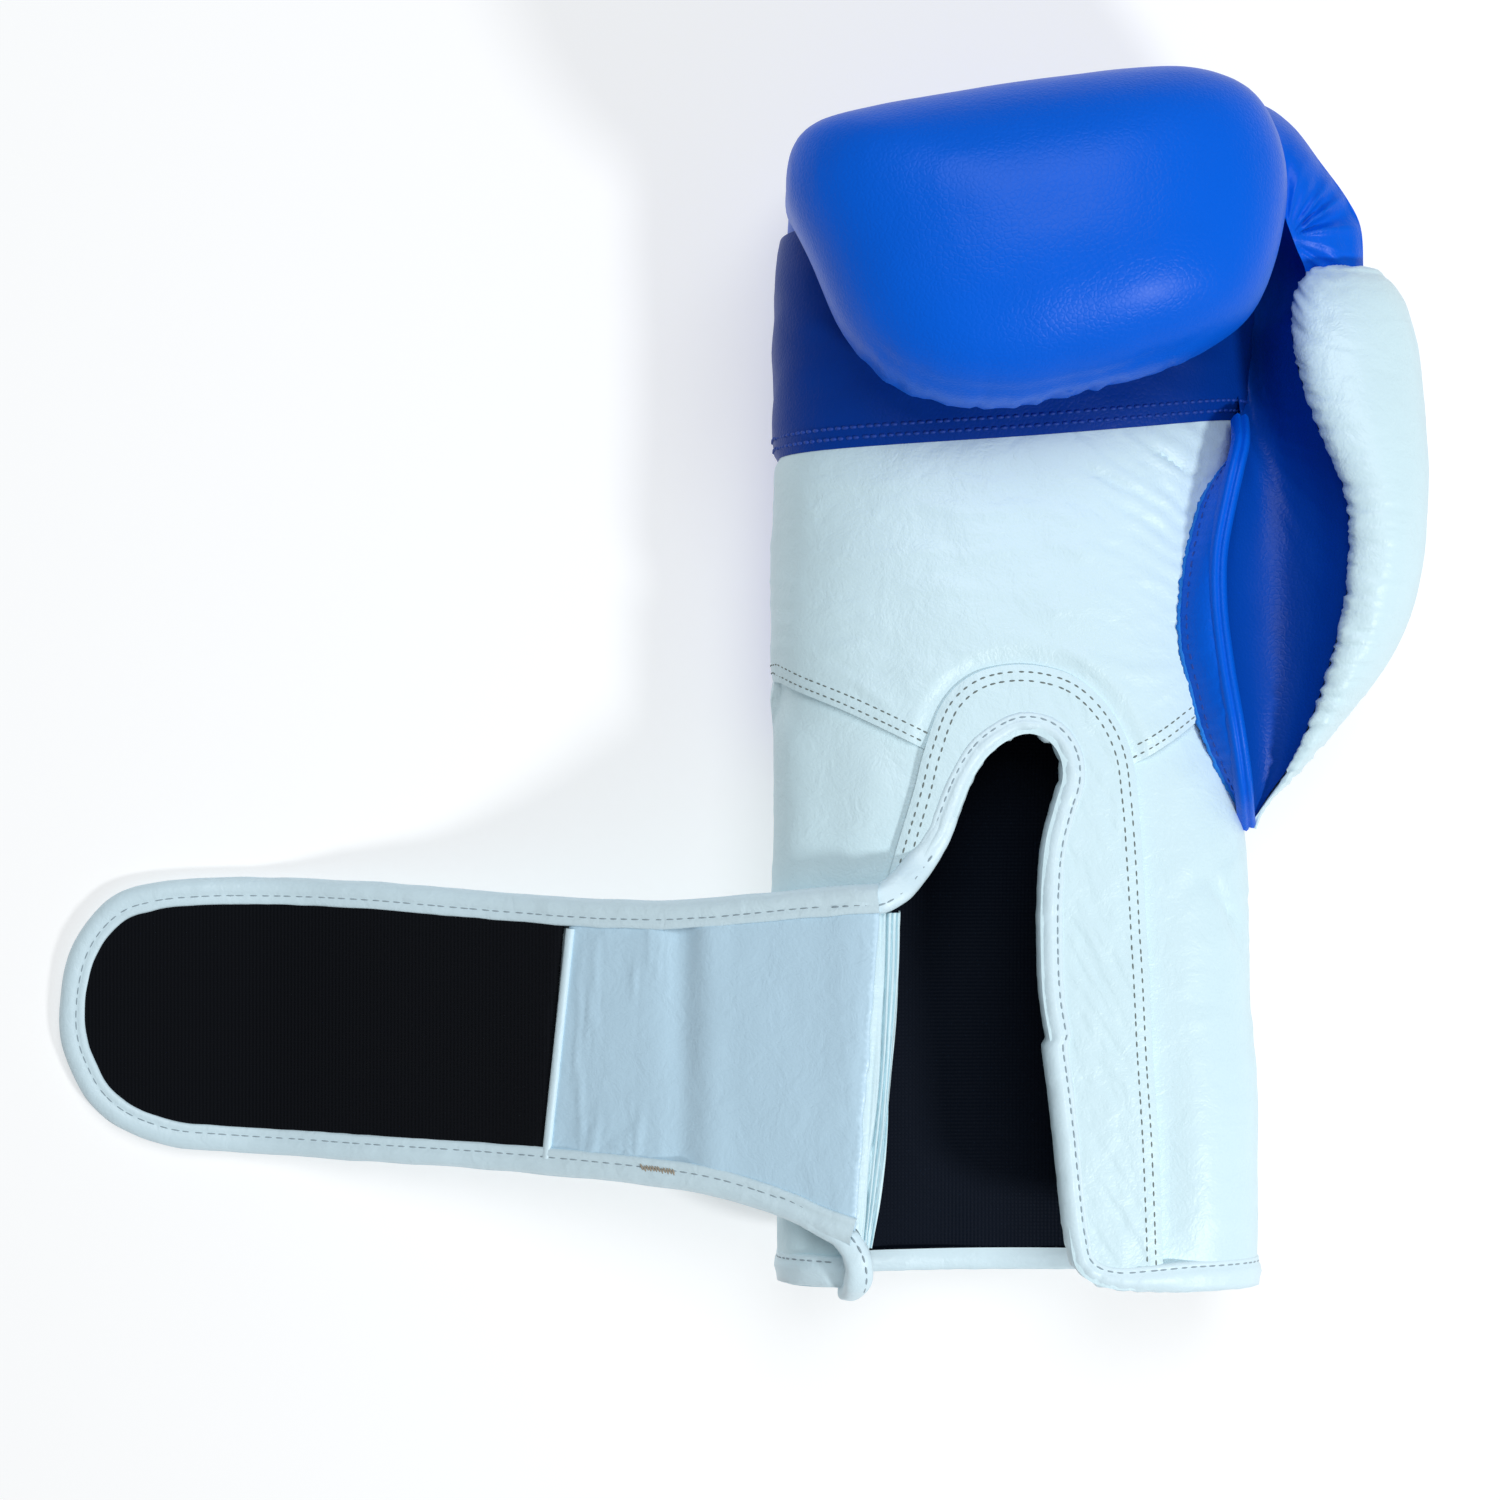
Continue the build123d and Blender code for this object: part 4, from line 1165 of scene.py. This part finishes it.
def strap_creases(flat, edge, base):
    """Creases across the inner leather: two near the tape, a wide bend, a fan low down."""
    s, w = flat.T
    wander = 1.6 * rough((w,), 16, 121)
    fine = bumps((s, 0.10 * w), 2.3, 123, 3)
    thin = np.abs(rough((s, 0.10 * w), 1.3, 129, 2))
    by_tape = s - 74.5 - wander - 0.03 * w
    out = 0.4 * rough((s, w), (18, 30, 10), 125)
    out += 1.1 * fine * bell(by_tape, 0, 3.2) + 0.35 * thin * bell(by_tape, 0, 3.6)
    out += fine * bell(s - wander, 60, 7) * smoothstep(np.abs(w + 3), 4, 22)
    out -= 1.5 * bell(s - 0.06 * w, 48.5, 4.6) * (0.6 + 0.4 * smoothstep(w, -20, 25))
    out += 0.7 * bell(s - 0.06 * w, 40.0, 5.0)
    fan = np.arctan2(w + 36, s - 79)
    out += 1.5 * bumps((fan * 20,), 1.2, 127) * bell(w, -26, 8.5) * bell(s, 67, 9)
    out += 0.55 * thin * bell(s, 2, 4.5)
    return out * smoothstep(edge, 0.5, 4)


# The inner leather is white leather greyed as painted shade.
strap_layer("strap_inner_leather_panel", within(lambda s, w: (s >= STRAP_START) & (s <= tape_start(w)), 0.8),
            "white_leather_painted_shade_on_strap", 1.3, strap_creases, step=1.05, puff=0.2)
strap_layer("strap_hook_tape_fabric", within(lambda s, w: s >= tape_start(w)), "hook_tape", 1.55,
            lambda flat, edge, base: 0.12 * rough(base, (14, 14, 14), 131), step=2.4, puff=0.3, cuts=CUTS[1:])
seam_w = np.linspace(-29.5, 26.5, 60)
sweep("strap_tape_edge_leather", *on(strap, columns(tape_start(seam_w) - 0.9, seam_w)),
      [(-1.0, 1.2), (-0.9, 2.0), (-0.3, 2.35), (0.5, 2.3), (1.1, 1.9), (1.5, 1.2)], "white_binding")
strap_layer("strap_outer_leather_panel", within(lambda s, w: s >= STRAP_START, 0.8), "white_leather", 2.3,
            lambda flat, edge, base: 0.12 * rough(base, (20, 20, 20), 133), under=True, step=2.6, cuts=CUTS)

strap_edge, strap_up = on(strap, edge_flat)
edge_rough = [rough((edge_s,), size, seed, 2) for size, seed in ((9, 141), (5, 143), (14, 145))]


def strap_profile(i):
    wide, high = 6.3 + 0.25 * edge_rough[0][i], 2.35 + 0.18 * edge_rough[1][i]
    out = -0.5 + 0.3 * edge_rough[2][i]
    return [
        (wide, 1.2), (wide + 0.05, 1.75), (wide - 0.4, 2.15), (wide - 1.6, 2.2), (wide - 2.2, 1.95),
        (wide - 2.9, high), (1.8, high + 0.1), (0.5, high - 0.5), (out + 0.15, 1.0), (out, 0.0),
        (out + 0.15, -1.0), (0.5, -1.95), (1.8, -2.45), (4.0, -2.5), (wide - 0.3, -2.45), (wide, -1.8),
    ]


whole = sweep("strap_binding_leather", strap_edge, strap_up, strap_profile, "white_binding")
cut_mesh(whole, np.repeat(edge_flat[:, 0], len(strap_profile(0))), CUTS)

# The leather's fold at the wrist, bunched into pleats between the strap and the opening.
PLEAT_TOP, PLEAT_END = -85.5, -163.0
pleat_y = np.linspace(PLEAT_TOP, PLEAT_END, 110)
fold_at = (85.5, 95, 110, 130, 150, 163)
right_x = ease(-pleat_y, fold_at, (-33.2, -33.6, -34.4, -36.2, -38.4, -40.6))[:, None]
left_x = ease(-pleat_y, fold_at, (-43.0, -43.0, -43.2, -43.8, -44.6, -45.2))[:, None]
v = np.linspace(0, 1, 96)
lines = rough((v[None] * 15.0, pleat_y[:, None] * 0.035), 1.9, 151, 2)
wander = rough((pleat_y * 0.022,), 1.0, 153, 2)[:, None]
spread = 7.5 * v + 0.35 * np.sin(11 * v)
valley = (1 - np.abs(np.sin(math.pi * (spread + 0.8 * wander + 0.45 * lines)))) ** 2.2
over = np.interp(v, (0, 0.62, 0.8, 0.9, 1.0), (0, 0.86, 0.97, 0.99, 0.97))
fall = np.interp(v, (0, 0.25, 0.62, 0.8, 0.9, 1.0), (0, 0.4, 2.6, 6.0, 9.0, 12.5))
x = left_x + (right_x - left_x) * over + (0.9 * lines - 0.5 * valley) * smoothstep(v, 0.3, 0.6)
z = 68.6 - fall - 0.8 * smoothstep(-v, -0.5, -0.3) + (1.3 * lines - 2.1 * valley) * smoothstep(v, 0.25, 0.45)
down = ((PLEAT_TOP - pleat_y) / (PLEAT_TOP - PLEAT_END))[:, None]
y = PLEAT_TOP - down * (PLEAT_TOP - PLEAT_END - 5.5 * smoothstep(-v, -0.7, -0.1))
grid_mesh("strap_anchor_leather", columns(x, y, z), "white_leather", (0.3, 0, 1), 0)

# The outer leather's fold from the cuff to the strap, under the strap while it is open.
cover_rows = []
for y in np.linspace(-84.0, -158.0, 60):
    edge_x = float(ease(-y, (85.5, 110, 130, 150, 163), (-36.6, -37.4, -38.8, -40.6, -42.4)))
    foot = skin.at(*skin.flat([(edge_x, y)])[0])
    w = (y - strap.pivot[1]) / strap.axis[1]
    sag = [foot + c for c in ((0.5, 0, -0.6), (-0.9, 0, 1.6), (-2.2, 0, 4.0))]
    reach = [strap.at(s, w) - 1.2 * strap.normal(s, w) for s in (1.5, 5.0, 9.0)]
    cover_rows.append(resampled(through(sag + reach, 0.5), 34))
grid_mesh("strap_fold_leather", np.stack(cover_rows), "white_leather", (-0.6, 0, 0.8), 0)


# The binding where the strap's upper edge runs into the opening, and where its lower edge folds
# down into the hem.
def nearest(line, value):
    return int(np.argmin(np.abs(line - value)))


half_way = len(edge_flat) // 2
strap_s = edge_flat[:, 0]
strap_middle = offset_line(strap_edge, strap_up, 3.0, 0.0)[0]
rim_middle = offset_line(rim, rim_up, 2.4, 0.6)[0]
join_path = through(
    [strap_middle[nearest(strap_s[:half_way], s)] for s in (20, 13, 6)]
    + [(-39.0, -82.3, 67.4), (-34.4, -79.8, 66.3)]
    + [rim_middle[nearest(rim_y[:30], y)] for y in (-75.5, -69.5, -63.5)],
    1.0,
)
join_up = np.tile(UP, (len(join_path), 1))
join_n = rough(join_path, (5, 5, 5), 161)


def join_profile(i):
    t = i / (len(join_path) - 1)
    swell = smoothstep(t, 0.0, 0.3) * smoothstep(-t, -1.0, -0.7)
    return squared_ring(2.75 + 0.75 * swell + 0.2 * join_n[i], 1.45 + 0.85 * swell + 0.2 * join_n[i], 20)


sweep("opening_binding_strap_join", join_path, join_up, join_profile, "white_binding", close=True)
strap_middle = offset_line(strap_edge, strap_up, 3.1, 0.0)[0]
fold_path = through(
    [strap_middle[half_way + nearest(strap_s[half_way:], s)] for s in (26, 18)]
    + [(-51.5, -157.0, 63.6), (-47.2, -159.3, 65.4), (-44.4, -163.0, 66.2), (-43.3, -167.2, 65.6),
       (-43.6, -170.6, 63.6), (-44.6, -173.0, 60.5), (-46.5, -174.0, 57.0)],
    0.8,
)
fold_n = rough(fold_path, (4, 4, 4), 163)


def fold_profile(i):
    t = i / (len(fold_path) - 1)
    swell = smoothstep(t, 0.0, 0.35)
    end = 1 - 0.45 * smoothstep(t, 0.78, 1.0)
    wide, high = 2.9 + 0.4 * swell + 0.15 * fold_n[i], 1.5 + 0.8 * swell + 0.25 * fold_n[i]
    return squared_ring(wide * end, high, 24)


lean = smoothstep(np.linspace(0, 1, len(fold_path)), 0.45, 0.95)
fold_up = columns(0.35 * lean, -0.55 * lean, 1.0)
sweep("hem_binding_strap_fold", fold_path, fold_up, fold_profile, "white_binding", close=True)


# ---------------------------------------------------------------- stitches
def cling(ob, flat, reach=6.0):
    """Points of a mesh straight above a line given on the skin."""
    tree = bvh(ob)
    points, normals = [], []
    for p, n in zip(*on(skin, flat)):
        hit = tree.ray_cast(Vector(p + n * reach), Vector(-n), 2 * reach)[0]
        if hit is not None:
            points.append(hit)
            normals.append(n)
    return np.array(points), np.array(normals)


def run_over(seam, distance, left=None, right=None):
    """Seam row on the skin, carried on down the side walls."""
    line = skin.flat(beside(seam, distance))
    if left is not None:
        q = np.arange(line[0, 0] - left, line[0, 0], 1.0)
        line = np.vstack([columns(q, line[0, 1] + 0.3), line])
    if right is not None:
        q = np.arange(line[-1, 0] + 1, line[-1, 0] + right, 1.0)
        line = np.vstack([line, columns(q, line[-1, 1])])
    return line


def part_of(row, first, last):
    """A run of points and normals without its first and last few."""
    return row[0][first:-last], row[1][first:-last]


# Stitches of white thread are drawn grey-blue, as painted shade.
patch_centre = tape_corners.mean(0)
patch_line = patch_centre + (tape_corners - patch_centre) * (0.93, 0.94)
dashes("loop_tape_stitches", [cling(loop_patch, even(patch_line, 1.0))], "white_stitching", pitch=3.0,
       length=2.0, wide=0.5, high=0.25)
facing_rows = [cling(facing, skin.flat(beside(facing_edge, -d)[4:])) for d in (1.7, 3.7)]
dashes("opening_facing_stitches", facing_rows, "grey_stitching", pitch=2.25, length=1.35, wide=0.48,
       high=0.24)

seam_rows = []
for seam, left in ((left_seam, 22), (right_seam, None)):
    for d in (1.4, 3.6):
        line = run_over(seam, d, left)
        plan = skin.at(*line.T)
        seam_rows.append(cling(palm, line[(~inside(plan[:, :2], facing_zone)) | (plan[:, 2] < 50)]))
dashes("palm_seam_stitches", seam_rows, "grey_stitching", pitch=1.9, length=1.2, wide=0.45, high=0.24)

finger_rows = [cling(fingers, run_over(finger_seam, d, 14, 12)) for d in (2.2, 4.6)]
dashes("finger_panel_stitches", finger_rows, "blue_stitching", pitch=2.0, length=1.6, wide=0.95, high=0.5)

gusset_in = (left_edge + (right_edge - left_edge) / width * 2.1)[width[:, 0] > 4.2]
gusset_tree = bvh(thumb_gusset)
hits = []
for x, y, _ in even(gusset_in, 1.0):
    p, n, *_ = gusset_tree.ray_cast(Vector((x, y, 200.0)), Vector((0, 0, -1)))
    if p is not None:
        hits.append((p, n if n.z > 0 else -n))
gusset_row = tuple(np.array(column) for column in zip(*hits))
dashes("thumb_gusset_stitches", [gusset_row], "blue_stitching", pitch=2.4, length=1.5, wide=0.55, high=0.3)

points, normals = offset_line(rim, rim_up, 3.2 + 1.7 * hem_part + rim_shift, 2.02)
rim_row = (points - normals * rim_low[:, None], normals)
dashes("opening_binding_stitches", [part_of(rim_row, 3, 2)], "white_stitching", pitch=2.5, length=1.7,
       wide=0.5, high=0.2)

STITCH_VERTS = STITCH_SIDES * len(STITCH_PROFILE)
for name, up, side, high in (("strap_stitches", 1.98, 1, 0.2), ("strap_under_stitches", -2.55, -1, 0.12)):
    points, normals = offset_line(strap_edge, strap_up, 4.1, up)
    whole = dashes(name, [part_of((points, side * normals), 9, 13)], "white_stitching", pitch=3.0, length=2.1,
                   wide=0.5, high=high)
    middles = strap_lengths(whole).reshape(-1, STITCH_VERTS).mean(1)
    cut_mesh(whole, np.repeat(middles, STITCH_VERTS), CUTS)

# A short overstitched bar of brown thread on the lower edge of the strap.
tack_from, tack_to = strap.flat([(-93.0, -147.1), (-84.4, -147.6)])
tack_lines = []
for k, (s, w) in enumerate(np.linspace(tack_from, tack_to, 26)[:24:2]):
    s = s + np.array([-0.3, 0.5])
    w = w + np.array([-0.8, 0.9]) * (1 if k % 2 else 0.7)
    up = strap.normal(s[0], 0)
    tack_lines.append((strap.at(np.linspace(*s, 4), np.linspace(*w, 4)) + up * 2.2, np.tile(up, (4, 1))))
dashes("strap_back_tack", tack_lines, "brown_stitching", pitch=1.1, length=1.7, wide=0.55, high=0.35,
       jitter=0.2)

for name, path, ups, side, up, first in (
    ("hem_fold_stitches", fold_path, fold_up, 1.2, 2.25, 6),
    ("opening_join_stitches", join_path, join_up, -1.2, 2.2, 8),
):
    dashes(name, [part_of(offset_line(path, ups, side, up), first, 8)], "white_stitching", pitch=2.8,
           length=1.9, wide=0.5, high=0.2)


# ---------------------------------------------------------------- what each piece moves with and stands for
def along_strap(low, high):
    return tuple(strap.at(low, 0.0) * MM), tuple(strap.at(high, 0.0) * MM)


MOTIONS = {
    "glove": ("glove",),
    "root": ("strap_root",),
    "middle": ("strap_root", "strap_middle", *along_strap(88.0, 112.0)),
    "tip": ("strap_middle", "strap_tip", *along_strap(150.0, 174.0)),
    "fold": ("glove", "strap_root", (-0.0345, -0.12, 0.066), (-0.0435, -0.12, 0.068)),
    "outer fold": ("glove", "strap_root", (-0.0388, -0.124, 0.0585), (-0.0438, -0.1235, 0.0645)),
    "pleats": ("glove", "strap_root", (-0.0376, -0.124, 0.066), (-0.04208, -0.12357, 0.066)),
    "hem fold": ("glove", "strap_root", (-0.0435, -0.1705, 0.0635), (-0.0445, -0.1615, 0.0655)),
}
# piece: (motion, CAD nodes it stands for, fill where it is padded)
PIECES = {
    "fist_leather": ("glove", "fist_shell curl_foam_outer curl_foam_core knuckle_foam", 0.95),
    "finger_panel_leather": ("glove", "finger_panel", 0.7),
    "palm_leather": ("glove", "palm_panel palm_foam", 0.6),
    **{
        "cuff_leather_" + side: ("glove", f"cuff_panel_{side} cuff_foam_{side}", 0.8)
        for side in ("little_finger_side", "thumb_side", "back")
    },
    "back_leather": ("glove", "back_panel back_foam_outer back_foam_inner", 0.95),
    "thumb_leather": ("glove", "thumb_shell thumb_foam", 0.9),
    "thumb_inner_leather": ("glove", "thumb_inner_panel"),
    "thumb_gusset_leather": ("glove", "thumb_gusset"),
    "thumb_attachment_leather": ("glove", "thumb_attachment"),
    "opening_facing_leather": ("glove", "opening_facing"),
    "opening_binding_leather": ("glove", "opening_binding hem_binding"),
    "cuff_lining_fabric": ("glove", "cuff_lining"),
    "hand_lining_fabric": ("glove", "hand_lining"),
    "grip_bar_fabric": ("glove", "grip_bar", 1.0),
    "loop_tape_fabric": ("glove", "loop_tape"),
    "strap_anchor_leather": ("pleats", "strap_anchor"),
    "strap_fold_leather": ("outer fold",),
    "opening_binding_strap_join": ("fold",),
    "opening_join_stitches": ("fold",),
    "hem_binding_strap_fold": ("hem fold",),
    "hem_fold_stitches": ("hem fold",),
    "strap_inner_leather_panel": ("root", "strap_inner_leather"),
    "strap_tape_edge_leather": ("root",),
    "strap_back_tack": ("root",),
    "strap_hook_tape_fabric_middle": ("middle", "strap_hook_tape_root strap_hook_tape_middle"),
    "strap_hook_tape_fabric_tip": ("tip", "strap_hook_tape_tip"),
}
for name in (
    "thumb_seam_leather", "thumb_gusset_raw_edge", "hand_lining_fabric_end", "opening_facing_stitches",
    "palm_seam_stitches", "finger_panel_stitches", "thumb_gusset_stitches", "opening_binding_stitches",
    "loop_tape_stitches",
):
    PIECES[name] = ("glove",)
for part in STRAP_PARTS:
    PIECES["strap_outer_leather_panel_" + part] = (part, f"strap_outer_leather_{part} strap_foam_{part}", 0.4)
    PIECES["strap_binding_leather_" + part] = (part, "strap_binding_" + part)
    PIECES["strap_stitches_" + part] = PIECES["strap_under_stitches_" + part] = (part,)

for name, (motion, *rest) in PIECES.items():
    piece = bpy.data.objects[name]
    bodies = MOTIONS[motion]
    if len(bodies) == 1:
        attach(piece, *bodies)
    else:
        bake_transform(piece)
    if rest:
        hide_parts(*rest[0].split())

# ---------------------------------------------------------------- light, floor and camera
floor_material = material("floor", (0.62, 0.62, 0.62), 0.9, specular=0.05)
floor_shader = floor_material.node_tree.nodes["Principled BSDF"]
floor_shader.inputs["Emission Color"].default_value = (1.0, 1.0, 1.0, 1.0)
floor_shader.inputs["Emission Strength"].default_value = 0.45
floor_mesh = bpy.data.meshes.new("floor")
FLOOR_HALF = 12.0
corners = [(x * FLOOR_HALF, y * FLOOR_HALF, 0) for x, y in ((-1, -1), (1, -1), (1, 1), (-1, 1))]
floor_mesh.from_pydata(corners, [], [(0, 1, 2, 3)])
floor = bpy.data.objects.new("floor", floor_mesh)
bpy.context.scene.collection.objects.link(floor)
floor.location.z = -0.0004
floor_mesh.materials.append(floor_material)


def area_light(name, place, aim, size, power, color):
    data = bpy.data.lights.new(name, "AREA")
    data.shape, data.size, data.energy, data.color = "DISK", size, power, color
    ob = bpy.data.objects.new(name, data)
    ob.location = place
    ob.rotation_euler = (Vector(aim) - Vector(place)).to_track_quat("-Z", "Y").to_euler()
    bpy.context.scene.collection.objects.link(ob)


area_light("softbox", (0.52, -0.55, 0.80), (0.0, 0, 0), 0.16, 5.6, (0.97, 0.985, 1.0))
area_light("fill", (0.02, 0.46, 1.25), (-0.05, 0, 0), 0.8, 8.2, (0.95, 0.98, 1.0))
world = bpy.data.worlds.new("world")
world.use_nodes = True
world.node_tree.nodes["Background"].inputs["Color"].default_value = (0.93, 0.97, 1.0, 1)
world.node_tree.nodes["Background"].inputs["Strength"].default_value = 0.24
bpy.context.scene.world = world
scene = bpy.context.scene
scene.view_settings.view_transform = "Standard"
scene.view_settings.exposure = 0.0
SENSOR, CAMERA_HEIGHT, VIEW_WIDTH = 36.0, 0.7, 0.38
camera_data = bpy.data.cameras.new("camera")
camera_data.sensor_width = SENSOR
camera_data.lens = SENSOR * CAMERA_HEIGHT / VIEW_WIDTH
camera = bpy.data.objects.new("camera", camera_data)
camera.location = (-0.0684, -0.0481, CAMERA_HEIGHT)
scene.collection.objects.link(camera)
scene.camera = camera
